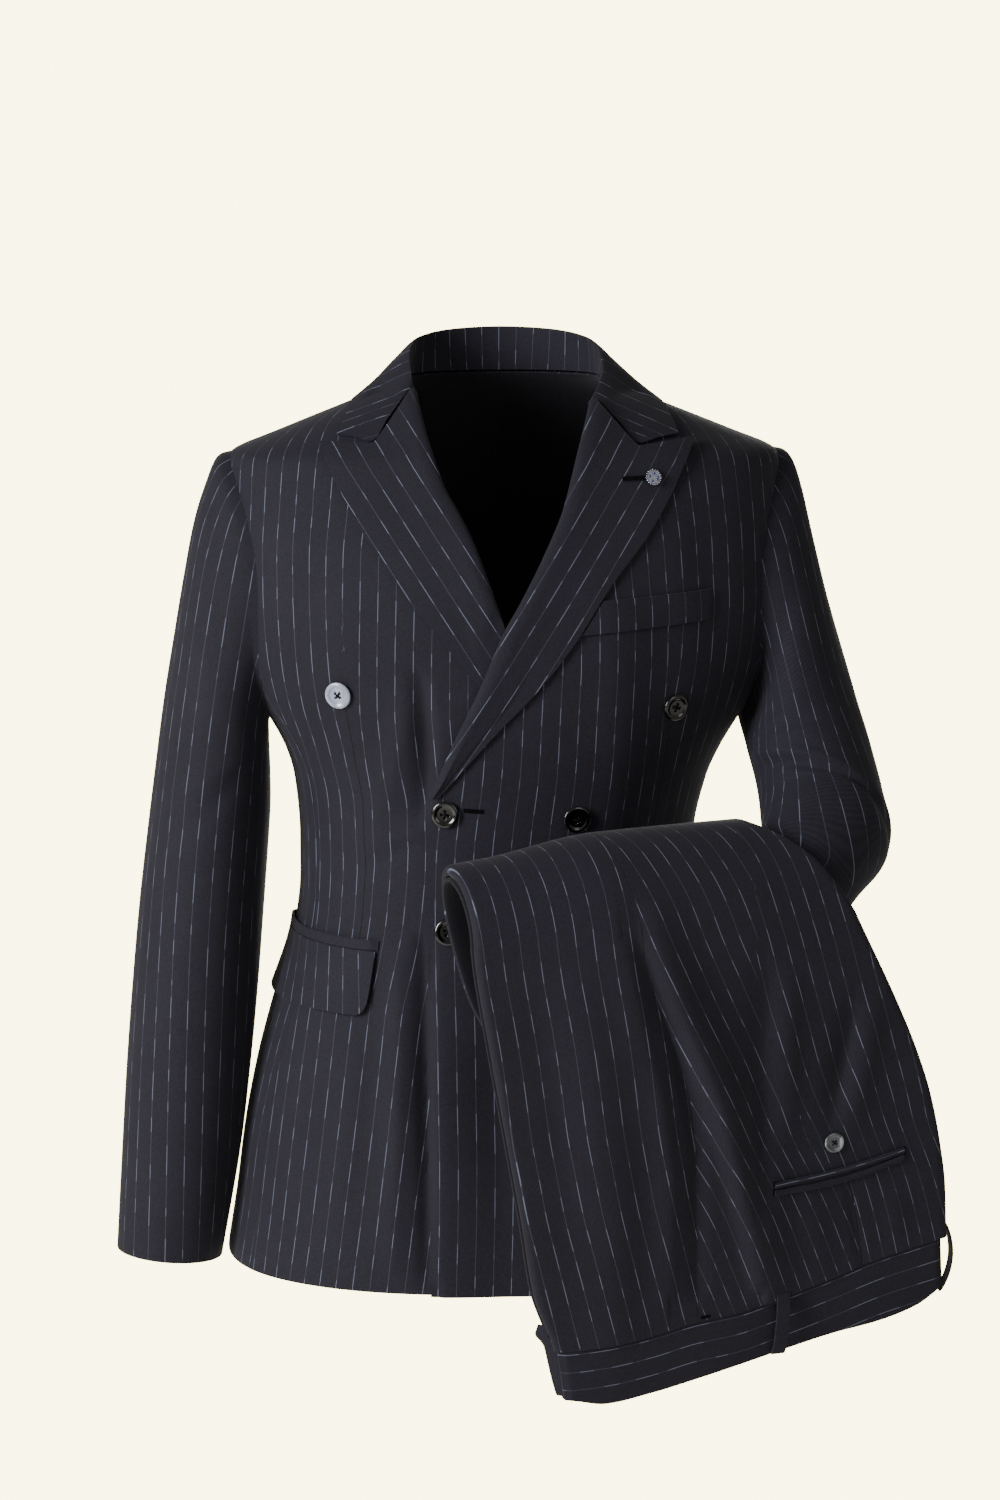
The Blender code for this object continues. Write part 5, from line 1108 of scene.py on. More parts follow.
# straightened height, stripe spacing in h: of the front panel, back panel, seat
SPACING = [(-0.720, 0.0148, 0.0120, 0.0115), (-0.640, 0.0145, 0.0121, 0.0116), (-0.560, 0.0142, 0.0123, 0.0117),
           (-0.530, 0.0142, 0.0135, 0.0127), (-0.500, 0.0142, 0.0142, 0.0132), (0.100, 0.0142, 0.0142, 0.0132)]
# where the seat's stripes meet the back panel's
SEAT_LINE = [(-0.720, 0.046), (-0.669, 0.0365), (-0.597, 0.0226), (-0.571, -0.006), (-0.529, -0.026),
             (-0.497, -0.042), (-0.464, -0.052), (-0.432, -0.056), (0.100, -0.060)]
BACK_DART = (-0.669, -0.597)


def beside_sleeve(h, q, z):
    """Point at h along the sleeve, q in front of its axis."""
    c, s = math.cos(DRAPE_ANGLE), math.sin(DRAPE_ANGLE)
    return np.stack(np.broadcast_arrays(DRAPE_X + c * h + s * q, DRAPE_Y + s * h - c * q, z), -1)


def hang_height(h, step):
    """Height in the front hang, and the straightened height over the sleeve."""
    top = column(BAND, 1, h)
    z = top + (column(ARCH, 1, h) - top) * np.clip(step, 0, 1)
    over = column(ARCH, 2, h) * math.pi * np.clip(step - 1, 0, 1)
    return z, z + over + np.clip(step - 2, 0, 1) * BEHIND_LENGTH


def trouser_path(h, step, out, folded=1.0):
    """Drape over the sleeve; out is measured outward from the outer cloth."""
    axis, arch = column(ARCH, 1, h), column(ARCH, 2, h)
    radius = arch + out
    z_front, _ = hang_height(h, step)
    angle = np.radians(90 - 180 * np.clip(step - 1, 0, 1))
    turn = np.radians(180 * np.clip(step - 3, 0, 1))
    down, up = np.clip(step - 2, 0, 1), np.clip(step - 4, 0, 1)
    fold = folded * fold_height(TROUSER_FOLDS, h, z_front) * (1 - ease(0.9, 1.25, step))
    q = np.where(step < 1, radius + fold, (radius + fold) * np.sin(angle))
    z = np.where(step < 1, z_front, axis + radius * np.cos(angle))
    q = np.where(step > 2, -radius + BACK_LEAN * ease(0.0, 1.0, down), q)
    z = np.where(step > 2, axis + (BACK_BOTTOM - axis) * down, z)
    turned = TURN_RADIUS + out
    q = np.where(step > 3, BACK_LEAN + TURN_RADIUS - arch - turned * np.cos(turn), q)
    z = np.where(step > 3, BACK_BOTTOM - turned * np.sin(turn), z)
    z = np.where(step > 4, BACK_BOTTOM + (TURN_TOP - BACK_BOTTOM) * up, z)
    return beside_sleeve(h, q, z)


def edge_at(step, h_guess, hang, behind):
    """h of an edge line, from its table in the front hang and its table behind."""
    z, _ = hang_height(h_guess, np.minimum(step, 1))
    return np.where(step < 1, column(hang, 1, z), column(behind, 1, step))


def panel_places(u, step, outer, seam, outer_guess):
    """h and depth over a panel, from its outer edge, which turns round the layers, to its seam."""
    number, columns = u * (u.shape[1] - 1), u.shape[1] - 1
    depth, inset = np.moveaxis(spline(EDGE_WRAP, np.clip(number / WRAP_COLUMNS, 0, 1)), -1, 0)
    rest = np.clip((number - WRAP_COLUMNS) / (columns - WRAP_COLUMNS), 0, 1)
    outer, seam = edge_at(step, outer_guess, *outer), edge_at(step, SEAM_GUESS, *seam)
    way = np.sign(seam - outer)
    wrapped = outer + way * EDGE_WRAP[-1][1]
    h = np.where(number <= WRAP_COLUMNS, outer + way * inset, wrapped + (seam - wrapped) * rest)
    return h, np.where(number <= WRAP_COLUMNS, depth, 0.0)


# %% Front and back panel
TROUSER_GRID = (76, 222)
LEFT_GUESS, SEAM_GUESS, RIGHT_GUESS = -0.20, -0.10, 0.05      # h near each line, to read its height from
u, v = grid(*TROUSER_GRID)
step = np.interp(1 - v, np.linspace(0, 1, len(PANEL_STEPS)), PANEL_STEPS)
side_seam = (SIDE_SEAM, SIDE_SEAM_BACK)
h, out = panel_places(u, step, (HANG_LEFT, BACK_LEFT), side_seam, LEFT_GUESS)
_, z = hang_height(h, step)
across = (h - column(FRONT_GUIDE, 1, z)) / column(SPACING, 1, z) * STRIPE_PITCH
cloth_piece("trouser_front", trouser_path(h, step, out), across, PANEL_WALL,
            flip=True, outward=True)

h, out = panel_places(1 - u, step, (HANG_RIGHT, BACK_RIGHT), side_seam, RIGHT_GUESS)
_, z = hang_height(h, step)
across = (h - column(BACK_GUIDE, 1, z)) / column(SPACING, 2, z) * STRIPE_PITCH
on_seat = ((h - column(SEAT_GUIDE, 1, z)) / column(SPACING, 3, z) + SEAT_STRIPES_ON) * STRIPE_PITCH
off_dart = h - column(SEAT_LINE, 1, z)
# The back dart on the seat gets the same painted seam shade between its ends.
cloth_piece("trouser_back", trouser_path(h, step, out), across, PANEL_WALL, on_seat - across, off_dart,
            flip=True, outward=True,
            drawn=np.where((z > BACK_DART[0]) & (z < BACK_DART[1]), off_dart, FAR))
show_sizes("trouser_front", "trouser_back")

# %% [markdown]
# The other leg and the turned-up legs lie hidden under these panels. They share one rounded slab, and only its edges
# show, stepped like the edges of stacked cloth.

# %% Inner layers
# depth below their outer face, inset from the edge
CORE_EDGE = [(0.0, 0.0050), (0.0010, 0.0036), (0.0018, 0.0038), (0.0024, 0.0050), (0.0030, -0.0020),
             (0.0052, -0.0024), (0.0061, 0.0008)]
CORE_GAP = 0.0032
CORE_ACROSS, CORE_ROUND, CORE_ALONG = 30, 18, 210
CORE_STEPS = PANEL_STEPS + [3.0, 3.25, 3.5, 3.75, 4.0, 4.4, 5.0]
steps = np.interp(np.linspace(0, 1, CORE_ALONG + 1), np.linspace(0, 1, len(CORE_STEPS)), CORE_STEPS)
left = edge_at(steps, LEFT_GUESS, HANG_LEFT, BACK_LEFT)[:, None]
right = edge_at(steps, RIGHT_GUESS, HANG_RIGHT, BACK_RIGHT)[:, None]
edge_depth, edge_inset = by_length(CORE_EDGE, np.linspace(0, 1, CORE_ROUND + 1)).T
flat = np.linspace(0, 1, CORE_ACROSS + 1)[1:-1]
outer_left, outer_right = left + edge_inset[0], right - edge_inset[0]
inner_left, inner_right = left + edge_inset[-1], right - edge_inset[-1]
h = np.concatenate([left + edge_inset[::-1], outer_left + (outer_right - outer_left) * flat, right - edge_inset,
                    inner_right + (inner_left - inner_right) * flat], 1)
depth = np.concatenate([edge_depth[::-1], 0 * flat, edge_depth, 0 * flat + edge_depth[-1]])[None, :] + 0 * h
spots = trouser_path(h, steps[:, None] + 0 * h, -(CORE_GAP + PANEL_WALL) - depth, 0.0)
count, both = spots.shape[1], CORE_ROUND + CORE_ACROSS
mesh = bmesh.new()
layer = mesh.loops.layers.uv.new(UV_NAME)
rings = [[mesh.verts.new(spot) for spot in row] for row in spots]
for low, high in zip(rings[:-1], rings[1:]):
    for i in range(count):
        j = (i + 1) % count
        mesh.faces.new([low[i], low[j], high[j], high[i]])
for ring in (rings[0], rings[-1]):
    left_edge, right_edge = ring[:CORE_ROUND + 1][::-1], ring[both:both + CORE_ROUND + 1]
    over = [left_edge[0]] + ring[CORE_ROUND + 1:both] + [right_edge[0]]
    under = [left_edge[-1]] + ring[both + CORE_ROUND + 1:][::-1] + [right_edge[-1]]
    for i in range(CORE_ACROSS):
        mesh.faces.new([over[i], over[i + 1], under[i + 1], under[i]])
    mesh.faces.new(left_edge)
    mesh.faces.new(right_edge)
bmesh.ops.recalc_face_normals(mesh, faces=mesh.faces[:])
for face in mesh.faces:
    face.smooth = len(face.verts) == 4
    for loop in face.loops:
        loop[layer].uv = loop.vert.co.x * 0.97 + loop.vert.co.y * 0.26, loop.vert.co.z
data = bpy.data.meshes.new("trouser_layers_cloth")
mesh.to_mesh(data)
mesh.free()
data.materials.append(INNER)
layers = add_object("trouser_layers_cloth", data)
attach(layers, "root")
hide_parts("trouser_inner_layers")
print("inner layers:", len(data.polygons), "faces")

# %% [markdown]
# ## Waistband, loops and back pocket
#
# The waistband is cut across the cloth, so its stripes run along it. Belt loops are narrow strips, bowed a little off
# the band. The back pocket is a slit between two fine jettings, with a button above it.

# %% Waistband
BAND_WALL, BAND_DEPTH, BAND_PROUD = 0.0022, 0.0125, 0.0004      # the depth is over both halves
BAND_LEFT, BAND_RIGHT = -0.2115, 0.1050
BAND_SLANT_LEFT, BAND_SLANT_RIGHT = 0.006, 0.002
# the halves come together over the turn at both ends, and the last share of their rows closes them squarely
BAND_TURN, BAND_END, BAND_SQUARE = 0.0055, 0.006, 0.62
BAND_STRIPE = 0.0030      # from the band's seam to its first stripe
for name, way, flip in (("waistband_left_half", 1, False), ("waistband_right_half", -1, True)):
    u, v = grid(170, 16)
    left = BAND_LEFT - (v - 0.5) * BAND_SLANT_LEFT
    right = BAND_RIGHT - (v - 0.5) * BAND_SLANT_RIGHT
    along = np.clip((u - BAND_END) / (1 - 2 * BAND_END), 0, 1)
    h = left + (right - left) * along
    near = np.minimum(along, 1 - along) * (right - left)
    square = np.clip(np.minimum(u, 1 - u) / BAND_END, 0, 1)
    swell = BAND_SQUARE * square + (1 - BAND_SQUARE) * ease(0, BAND_TURN, near)
    out = BAND_PROUD - BAND_DEPTH / 2 + way * BAND_DEPTH / 2 * swell
    bottom = column(BAND, 2, h)
    z = bottom + (column(BAND, 1, h) - bottom) * v
    spots = beside_sleeve(h, column(ARCH, 2, h) + out, z)
    cloth_piece(name, spots, column(BAND, 1, h) - z - BAND_STRIPE, BAND_WALL, flip=flip, along=run(spots, 1))
show_sizes("waistband_left_half")


# %% Belt loops
LOOP_WIDTH, LOOP_WALL = 0.011, 0.0021
LOOP_LENGTH = 0.058
LOOP_TOUCH = 0.0012       # how near the ends of the two outer loops come
LOOP_BOW = {"left": 0.0022, "right": 0.0090}
LOOP_TOP_BOW, LOOP_TOP_PLACE, LOOP_TOP_HALF = 0.0044, 0.86, 0.10      # the left loop's swelling near its top
LOOP_FOOT = 0.0048        # how far the right loop's foot comes in to the band
LOOP_FACING = {"left": math.radians(48), "right": math.radians(12)}     # how far an outer loop turns to the front
SIDE_LOOP_PLACE, SIDE_LOOP_HEIGHT, SIDE_LOOP_LENGTH = -0.0340, -0.7070, 0.050
SIDE_LOOP_TOUCH, SIDE_LOOP_BOW, SIDE_LOOP_SLANT = 0.0030, 0.0058, 0.004


def on_hang(h, z, out):
    """Point on the front hang, out from the outer cloth."""
    return beside_sleeve(h, column(ARCH, 2, h) + fold_height(TROUSER_FOLDS, h, z) + out, z)


def belt_loop(name, spots, side):
    cloth_piece(name, spots, side + STRIPE_PITCH / 2, LOOP_WALL)


u, v = grid(10, 48)
side = (u - 0.5) * LOOP_WIDTH
h = SIDE_LOOP_PLACE + side + (v - 0.5) * SIDE_LOOP_SLANT
away = SIDE_LOOP_TOUCH + SIDE_LOOP_BOW * np.sin(np.pi * v) ** 0.45
z = SIDE_LOOP_HEIGHT + (v - 0.5) * SIDE_LOOP_LENGTH
belt_loop("belt_loop_side", beside_sleeve(h, column(ARCH, 2, h) + away, z), side)
for name, end, edge, way, height in (("belt_loop_front", "left", HANG_LEFT, -1, -0.7230),
                                     ("belt_loop_back", "right", HANG_RIGHT, 1, -0.6680)):
    away = LOOP_TOUCH + LOOP_BOW[end] * np.sin(np.pi * v) ** 0.7
    if end == "left":
        away += LOOP_TOP_BOW * np.exp(-((v - LOOP_TOP_PLACE) / LOOP_TOP_HALF) ** 2)
    else:
        away -= LOOP_FOOT * (1 - v) ** 1.5
    z = height + (v - 0.5) * LOOP_LENGTH
    h = column(edge, 1, z) + way * away
    q = column(ARCH, 2, h) - BAND_DEPTH / 2 - way * side * math.cos(LOOP_FACING[end])
    belt_loop(name, beside_sleeve(h + side * math.sin(LOOP_FACING[end]), q, z), side)
show_sizes("belt_loop_side", "belt_loop_front")

# %% Back pocket
POCKET = np.array([(-0.0406, -0.5985), (0.0690, -0.5800)])
POCKET_JETTING, POCKET_LIFT, POCKET_WALL = 0.0052, 0.0036, 0.0018
POCKET_LIP, POCKET_SLIT = 0.0010, 0.0002      # roundness of a jetting, half the gap between the two
LINING_WALL, LINING_LIFT, LINING_HALF = 0.0004, 0.0006, 0.0008
u, v = grid(70, 6)
x, z = np.moveaxis(POCKET[0] + (POCKET[1] - POCKET[0]) * u[..., None], -1, 0)
for name, first, sag, stripe in (("pocket_jetting_upper", POCKET_SLIT, 0.0026, 0.0030),
                                 ("pocket_jetting_lower", -POCKET_JETTING - POCKET_SLIT, 0.0048, -0.0060)):
    height = z + first + POCKET_JETTING * v - sag * np.sin(np.pi * u)
    spots = on_hang(x, height, POCKET_LIFT + POCKET_LIP * np.sin(np.pi * v))
    cloth_piece(name, spots, POCKET_JETTING * v - stripe, POCKET_WALL, along=run(spots, 1))
u, v = grid(60, 6)
x, z = np.moveaxis(POCKET[0] + (POCKET[1] - POCKET[0]) * (0.02 + 0.96 * u[..., None]), -1, 0)
height = z - (0.0026 + 0.0035 * (1 - v)) * np.sin(np.pi * u) + LINING_HALF * (2 * v - 1)
cloth_piece("pocket_lining", on_hang(x, height, PANEL_WALL + LINING_LIFT), 0 * u + STRIPE_PITCH / 2, LINING_WALL,
            solid=False)
show_sizes("pocket_jetting_upper", "pocket_lining")

# %% [markdown]
# ## Buttons and pin
#
# Suit buttons are moulded polyester made to look like horn: a flat dish with a rounded rim and four holes, sewn on
# with a thread cross. One is pale grey, the others are black with pale marbling, whose diagonal streaks are also
# painted reflection. They are turned from a profile, and the holes are pressed into the round grid of the dish. The
# pin is a small silver disc with a beaded rim and stones.

# %% Button and pin finishes
VEIN_SOFT = 0.10          # a marbled vein fades out over this much of the noise


def horn(name, low, high, rough, streak, threshold, coat=0.9):
    """Moulded polyester like polished horn: clear coat, soft clouds and thin streaks."""
    made, tree, shader = new_material(name)
    shown = node(tree, "ShaderNodeTexCoord").outputs["Object"]
    warp = node(tree, "ShaderNodeTexNoise", Vector=shown, Scale=90.0, Detail=2.0)
    bent = node(tree, "ShaderNodeMix", {"data_type": "VECTOR"}, i0=0.012, i4=shown, i5=warp.outputs["Color"])
    turned_way = node(tree, "ShaderNodeMapping", Vector=bent.outputs[1], Rotation=(0.0, 0.9, 0.4),
                      Scale=(1.0, 1.0, 0.22))
    veins = node(tree, "ShaderNodeTexNoise", Vector=turned_way.outputs[0], Scale=150.0, Detail=3.0, Roughness=0.55)
    share = node(tree, "ShaderNodeMapRange", {"interpolation_type": "SMOOTHSTEP"}, i0=veins.outputs[0], i1=threshold,
                 i2=threshold + VEIN_SOFT, i3=0.0, i4=streak)
    colour = node(tree, "ShaderNodeMix", {"data_type": "RGBA"}, i0=share.outputs[0], i6=linear(low), i7=linear(high))
    tree.links.new(colour.outputs[2], shader.inputs["Base Color"])
    finish(shader, Roughness=rough, Coat_Weight=coat, Coat_Roughness=0.04)
    return made


def mottled(name, low, high, scale, detail=2.0, **constants):
    """A finish whose colour wanders between two tones. scale is about one over the size of a patch in metres."""
    made, tree, shader = new_material(name)
    shown = node(tree, "ShaderNodeTexCoord").outputs["Object"]
    patches = node(tree, "ShaderNodeTexNoise", Vector=shown, Scale=scale, Detail=detail)
    tone = node(tree, "ShaderNodeMix", {"data_type": "RGBA"}, i0=patches.outputs[0], i6=linear(low), i7=linear(high))
    tree.links.new(tone.outputs[2], shader.inputs["Base Color"])
    finish(shader, **constants)
    return made


# Black buttons: the pale veins are marbling, and their long diagonal streaks are also painted reflection of the glossy
# face.
BLACK_MARBLE_AND_GLINT = horn("black polyester button, marbled, painted reflection streaks", "#030304", "#9aa0a8", 0.18, 0.35, 0.70, 0.45)
PALE_HORN = horn("pale grey polyester button", "#888da2", "#a9aec2", 0.34, 0.5, 0.5)
GREY_HORN = horn("dark grey polyester button", "#3b4046", "#8f969c", 0.24, 0.8, 0.50)
# Spun polyester is matt, and its plies are 0.4 mm apart
THREAD = mottled("dark polyester sewing thread", "#030305", "#0d0d12", 2500.0, Roughness=0.9, Specular_IOR_Level=0.1)
# Cast silver is polished on what stands out and stays dark in the hollows, in patches of a millimetre or so
SILVER = mottled("cast silver, polished", "#3c3e4a", "#b0b4c0", 700.0, 3.0, Metallic=1.0, Roughness=0.26)
# Glass is the glossiest thing here, and deep blue with lighter glints inside
STONE = mottled("blue glass stone", "#0b0f28", "#2d3d7c", 900.0, Roughness=0.08, Coat_Weight=1.0)
print("finishes:", len(bpy.data.materials))

# %% Buttons
# x, height, on the left front, turn in degrees, finish, slot
BUTTONS = {
    "button_top_right": (-0.137, -0.228, False, 4, PALE_HORN, "pale_button"),
    "button_top_left": (0.127, -0.240, True, 30, BLACK_MARBLE_AND_GLINT, "dark_button"),
    "button_middle_right": (-0.054, -0.3200, True, 40, BLACK_MARBLE_AND_GLINT, "dark_button"),
    "button_middle_left": (0.047, -0.325, True, 25, BLACK_MARBLE_AND_GLINT, "dark_button"),
    "button_bottom_right": (-0.052, -0.415, True, 12, BLACK_MARBLE_AND_GLINT, "dark_button"),
    "button_bottom_left": (0.048, -0.418, True, 38, BLACK_MARBLE_AND_GLINT, "dark_button"),
}
BUTTON_LIFT = 0.0004
# radius, height of the dish from its middle over the rim to the back
DISH = [(0.0, 0.0024), (0.0030, 0.0024), (0.0062, 0.0025), (0.0072, 0.0029), (0.0084, 0.0034), (0.0096, 0.0033),
        (0.0106, 0.0027), (0.0108, 0.0019), (0.0103, 0.0011), (0.0090, 0.0005), (0.0060, 0.0002), (0.0, 0.0)]
DISH_FRONT = 0.45         # this share of the outline is the front, where the holes go in
HOLE_OFF, HOLE_RADIUS, HOLE_DEPTH = 0.0018, 0.00115, 0.0019
THREAD_HALF, THREAD_HEIGHT, THREAD_BOW = 0.00058, 0.0026, 0.0007
RINGS, SPOKES = 72, 72
BAR_STEPS, BAR_SIDES = 8, 8
PROBE = 0.001


def facing(surface, x, z):
    """Which way a surface faces, from two points on and off it."""
    return (surface(x, z, PROBE) - surface(x, z, 0.0)) / PROBE


def axes(way, lean=0.0):
    """Right, up and outward of a small piece, turned by lean degrees."""
    way = np.asarray(way, float) / np.linalg.norm(way)
    side = np.cross(way, [0.0, 0.0, 1.0])
    side /= -np.linalg.norm(side)
    up = np.cross(way, side)
    c, s = math.cos(math.radians(lean)), math.sin(math.radians(lean))
    return side * c + up * s, up * c - side * s, way


def small_piece(name, mesh, looks, replaces=None):
    for look in looks:
        mesh.materials.append(look)
    piece = add_object(name, mesh)
    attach(piece, "root")
    if replaces:
        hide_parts(replaces)


def button(name, spot, way, lean, look, scale=1.0):
    """A turned dish with four holes, and the cross of thread that holds it."""
    side, up, out = axes(way, lean)
    outline = by_length(spline(DISH, np.linspace(0, 1, 200)), np.linspace(0, 1, RINGS + 1)) * scale
    turn = np.linspace(0, 2 * math.pi, SPOKES, endpoint=False)
    x, y = outline[:, :1] * np.cos(turn), outline[:, :1] * np.sin(turn)
    front = (np.arange(RINGS + 1) < RINGS * DISH_FRONT)[:, None]
    height = outline[:, 1:2] + 0 * x
    off, radius = HOLE_OFF * scale, HOLE_RADIUS * scale
    for hx, hy in ((1, 1), (1, -1), (-1, 1), (-1, -1)):
        gap = np.hypot(x - hx * off, y - hy * off)
        height -= front * HOLE_DEPTH * scale * (1 - ease(radius * 0.8, radius * 1.15, gap))
    points = spot + x[..., None] * side + y[..., None] * up + height[..., None] * out
    mesh = bmesh.new()
    rings = [[mesh.verts.new(p) for p in row] for row in points[1:-1]]
    ends = [mesh.verts.new(points[0, 0]), mesh.verts.new(points[-1, 0])]
    for low, high in zip(rings[:-1], rings[1:]):
        for i in range(SPOKES):
            mesh.faces.new([low[i - 1], high[i - 1], high[i], low[i]])
    for i in range(SPOKES):
        mesh.faces.new([ends[0], rings[0][i - 1], rings[0][i]])
        mesh.faces.new([ends[1], rings[-1][i], rings[-1][i - 1]])
    for hx, hy in ((1, 1), (1, -1)):
        bar = [spot + out * (THREAD_HEIGHT + THREAD_BOW * math.sin(math.pi * t)) * scale
               + (side * hx + up * hy) * (2 * t - 1) * off for t in np.linspace(0, 1, BAR_STEPS + 1)]
        across = np.cross(bar[-1] - bar[0], out)
        across /= np.linalg.norm(across)
        loops = [[mesh.verts.new(p + THREAD_HALF * scale * (across * math.cos(a) + out * math.sin(a)))
                  for a in np.linspace(0, 2 * math.pi, BAR_SIDES, endpoint=False)] for p in bar]
        sewn = [[low[i - 1], low[i], high[i], high[i - 1]]
                for low, high in zip(loops[:-1], loops[1:]) for i in range(BAR_SIDES)]
        for corners in sewn + [loops[0], loops[-1][::-1]]:
            mesh.faces.new(corners).material_index = 1
    bmesh.ops.recalc_face_normals(mesh, faces=mesh.faces[:])
    for face in mesh.faces:
        face.smooth = True
    data = bpy.data.meshes.new(name + "_dish")
    mesh.to_mesh(data)
    mesh.free()
    small_piece(name + "_dish", data, [look, THREAD], name)


for name, (x, z, on_left, lean, look, slot) in BUTTONS.items():
    surface = left_front if on_left else right_front
    button(name, surface(x, z, BUTTON_LIFT), facing(surface, x, z), lean, look)
POCKET_BUTTON, POCKET_BUTTON_LIFT, POCKET_BUTTON_SCALE = (0.0096, -0.5660), 0.0018, 0.74
button("pocket_button", on_hang(*POCKET_BUTTON, POCKET_BUTTON_LIFT),
       (math.sin(DRAPE_ANGLE), -math.cos(DRAPE_ANGLE), 0.0), 10, GREY_HORN, POCKET_BUTTON_SCALE)
print("buttons:", len(BUTTONS) + 1)

# %% [markdown]
# ## Repeats with Geometry Nodes
#
# Stitches and the beads of the pin repeat along a path. One node tree does both: it resamples a path to even steps,
# puts a small rounded bead at each step, turned to the surface and the path, and makes all of it one mesh.

# %% A tree for repeats along a path


def repeat_tree(look, name):
    tree = bpy.data.node_groups.new(name, "GeometryNodeTree")
    face = tree.interface
    face.new_socket("Path", in_out="INPUT", socket_type="NodeSocketGeometry")
    face.new_socket("Result", in_out="OUTPUT", socket_type="NodeSocketGeometry")
    for size in ("Step", "Length", "Width", "Height", "Turn"):
        face.new_socket(size, in_out="INPUT", socket_type="NodeSocketFloat")
    given = node(tree, "NodeGroupInput")
    curve = node(tree, "GeometryNodeMeshToCurve", Mesh=given.outputs["Path"])
    steps = node(tree, "GeometryNodeResampleCurve", {"mode": "LENGTH"}, Curve=curve.outputs[0],
                 Length=given.outputs["Step"])
    outward = node(tree, "GeometryNodeInputNamedAttribute", {"data_type": "FLOAT_VECTOR"}, Name="out")
    tangent = node(tree, "GeometryNodeInputTangent")
    stand = node(tree, "FunctionNodeAlignRotationToVector", {"axis": "Z"}, Vector=outward.outputs[0])
    face_on = node(tree, "FunctionNodeAlignRotationToVector", {"axis": "X", "pivot_axis": "Z"},
                   Rotation=stand.outputs[0], Vector=tangent.outputs[0])
    angle = node(tree, "ShaderNodeCombineXYZ", Z=given.outputs["Turn"])
    as_rotation = node(tree, "FunctionNodeEulerToRotation", Euler=angle.outputs[0])
    turned_on = node(tree, "FunctionNodeRotateRotation", {"rotation_space": "LOCAL"}, Rotation=face_on.outputs[0],
                     Rotate_By=as_rotation.outputs[0])
    bead = node(tree, "GeometryNodeMeshUVSphere", Segments=8, Rings=6, Radius=0.5)
    smooth = node(tree, "GeometryNodeSetShadeSmooth", Geometry=bead.outputs[0])
    size = node(tree, "ShaderNodeCombineXYZ", X=given.outputs["Length"], Y=given.outputs["Width"],
                Z=given.outputs["Height"])
    placed = node(tree, "GeometryNodeInstanceOnPoints", Points=steps.outputs[0], Instance=smooth.outputs[0],
                  Rotation=turned_on.outputs[0], Scale=size.outputs[0])
    real = node(tree, "GeometryNodeRealizeInstances", Geometry=placed.outputs[0])
    dressed = node(tree, "GeometryNodeSetMaterial", Geometry=real.outputs[0], Material=look)
    result = node(tree, "NodeGroupOutput")
    tree.links.new(dressed.outputs[0], result.inputs[0])
    return tree


STITCH_TREE = repeat_tree(THREAD, "stitches along a path")
BEAD_TREE = repeat_tree(SILVER, "beads along a path")
STONE_TREE = repeat_tree(STONE, "stones along a path")
inputs = {item.name: item.identifier for item in STITCH_TREE.interface.items_tree if item.in_out == "INPUT"}


def repeats(name, tree, paths, slot="cloth", **sizes_given):
    """paths is a list of (points, outward directions); the beads along all of them make one piece."""
    points, ways, edges = [], [], []
    for line, outs in paths:
        first = len(points)
        points += [tuple(p) for p in line]
        ways += [tuple(w) for w in outs]
        edges += [(i, i + 1) for i in range(first, len(points) - 1)]
    path = bpy.data.meshes.new(name + "_path")
    path.from_pydata(points, edges, [])
    path.attributes.new("out", "FLOAT_VECTOR", "POINT").data.foreach_set("vector", np.array(ways).reshape(-1))
    carrier = add_object(name + "_path", path)
    maker = carrier.modifiers.new("repeat", "NODES")
    maker.node_group = tree
    for key, value in sizes_given.items():
        maker[inputs[key]] = float(value)
    scene_now = bpy.context.evaluated_depsgraph_get()
    mesh = bpy.data.meshes.new_from_object(carrier.evaluated_get(scene_now), depsgraph=scene_now)
    mesh.name = name
    bpy.data.objects.remove(carrier, do_unlink=True)
    small_piece(name, mesh, [])
    print(f"{name}: {len(mesh.polygons)} faces")


# %% Pin
PIN_X, PIN_HEIGHT = 0.109, -0.062
PIN_LIFT = LAPEL_FLAT + 0.0020
PIN_RADIUS, PIN_TAPER, PIN_DEPTH, PIN_ROUND = 0.0062, 0.92, 0.0012, 0.0003
BEADS = {"radius": PIN_RADIUS - PIN_ROUND, "height": 0.0013, "count": 20}
STONES = {"radius": 0.0033, "height": 0.0014, "count": 5}
spot = left_front(PIN_X, PIN_HEIGHT, PIN_LIFT)
side, up, out = axes(facing(left_front, PIN_X, PIN_HEIGHT))
mesh = bmesh.new()
bmesh.ops.create_cone(mesh, cap_ends=True, segments=40, radius1=PIN_RADIUS, radius2=PIN_RADIUS * PIN_TAPER,
                      depth=PIN_DEPTH)
bmesh.ops.bevel(mesh, geom=[e for e in mesh.edges if e.calc_face_angle(0) > 0.7], offset=PIN_ROUND, segments=2)
for vert in mesh.verts:
    vert.co = spot + side * vert.co.x + up * vert.co.y + out * (vert.co.z + PIN_DEPTH / 2)
data = bpy.data.meshes.new("lapel_pin_disc")
mesh.to_mesh(data)
mesh.free()
small_piece("lapel_pin_disc", data, [SILVER], "lapel_pin")


def ring_of(name, tree, radius, height, count, **sizes_given):
    """Beads in a ring on the pin. The path stops half a step short, so that the last isn't set on the first."""
    turn = np.linspace(0, 2 * math.pi * (1 - 0.5 / count), 120)[:, None]
    line = spot + radius * (np.cos(turn) * side + np.sin(turn) * up) + out * height
    repeats(name, tree, [(line, np.tile(out, (120, 1)))], "silver", Step=2 * math.pi * radius / count, **sizes_given)


ring_of("lapel_pin_beads", BEAD_TREE, **BEADS, Length=0.0017, Width=0.0017, Height=0.0015, Turn=0)
ring_of("lapel_pin_stones", STONE_TREE, **STONES, Length=0.0024, Width=0.0024, Height=0.0016, Turn=0)

# %% [markdown]
# ## Stitches
#
# A buttonhole is closed round by purl stitches that lie across its slit. A bar tack closes the foot of the trousers'
# side seam and the ends of the pockets, and a line of fine stitches runs beside the seam.

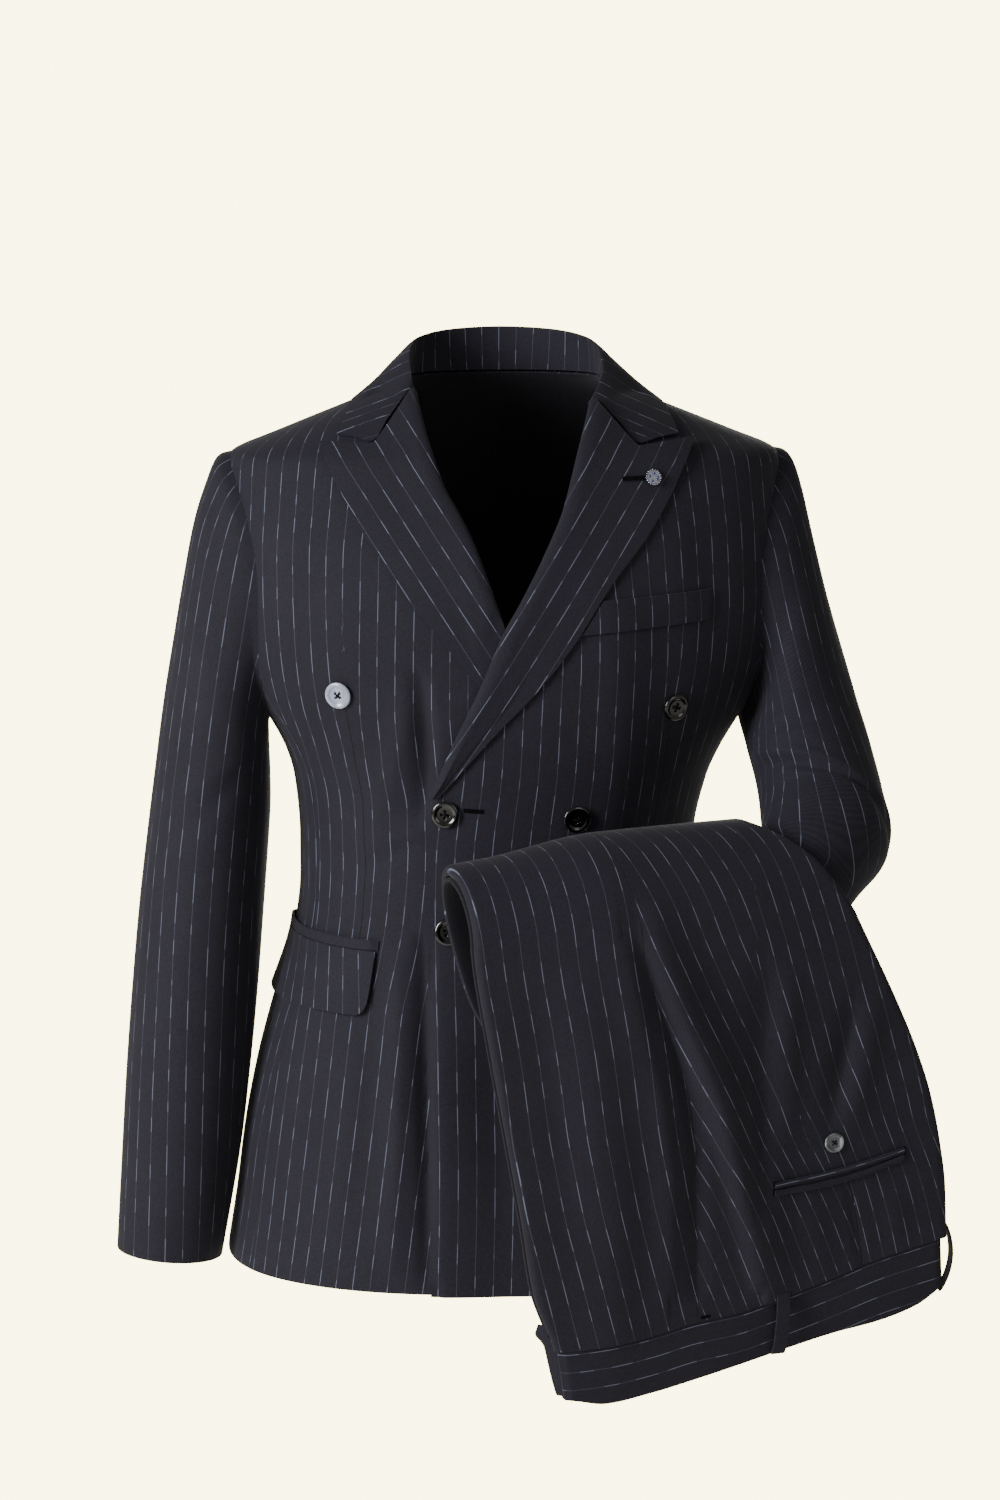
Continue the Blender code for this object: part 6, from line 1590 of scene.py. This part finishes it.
# %% Rows of stitches
PURL = {"Step": 0.0007, "Length": 0.0024, "Width": 0.0007, "Height": 0.0011, "Turn": math.pi / 2}
TACK = {"Step": 0.0006, "Length": 0.0030, "Width": 0.0007, "Height": 0.0010, "Turn": math.pi / 2}
RUNNING = {"Step": 0.0030, "Length": 0.0019, "Width": 0.0004, "Height": 0.0003, "Turn": 0}
SLIT_HALF, SUNK = 0.0007, 0.0001
ON_LAPEL = LAPEL_FLAT + LAYER_WALL + 0.0002
BESIDE_SEAM, SEAM_FOOT = 0.0022, -0.700
BESIDE_WELT_END = 0.0018


def on_surface(surface, a, b, lift, count=40):
    """A straight row of places on a surface, with the directions that it faces."""
    x, z = np.linspace(a, b, count).T
    return surface(x, z, lift), (surface(x, z, lift + PROBE) - surface(x, z, lift)) / PROBE


def slit(a, b, lift):
    """The two sides of a buttonhole."""
    return [on_surface(left_front, np.add(a, (0, half)), np.add(b, (0, half)), lift)
            for half in (SLIT_HALF, -SLIT_HALF)]


repeats("lapel_buttonhole", STITCH_TREE, slit((0.0850, -0.0622), (0.1030, -0.0618), ON_LAPEL), **PURL)
repeats("front_buttonhole", STITCH_TREE, slit((-0.0400, -0.3170), (-0.0250, -0.3180), SUNK), **PURL)
tacks = [on_surface(on_hang, a, b, PANEL_WALL + SUNK) for a, b in (
    ((-0.0995, -0.6965), (-0.0925, -0.6955)), ((-0.0406, -0.6035), (-0.0400, -0.5930)),
    ((0.0690, -0.5855), (0.0694, -0.5750)))]
repeats("trouser_bar_tacks", STITCH_TREE, tacks, **TACK)
x, z = by_length([(h - BESIDE_SEAM, z) for z, h in SIDE_SEAM if z > SEAM_FOOT], np.linspace(0, 1, 200)).T
here, there = on_hang(x, z, PANEL_WALL), on_hang(x, z, PANEL_WALL + PROBE)
repeats("trouser_side_seam_stitches", STITCH_TREE, [(here, (there - here) / PROBE)], **RUNNING)
welt_end = on_surface(left_front, WELT_CORNERS[2] - [BESIDE_WELT_END, 0.0012],
                      WELT_CORNERS[1] - [BESIDE_WELT_END, -0.0012], WELT_LIFT)
repeats("breast_welt_stitches", STITCH_TREE, [welt_end], **RUNNING)
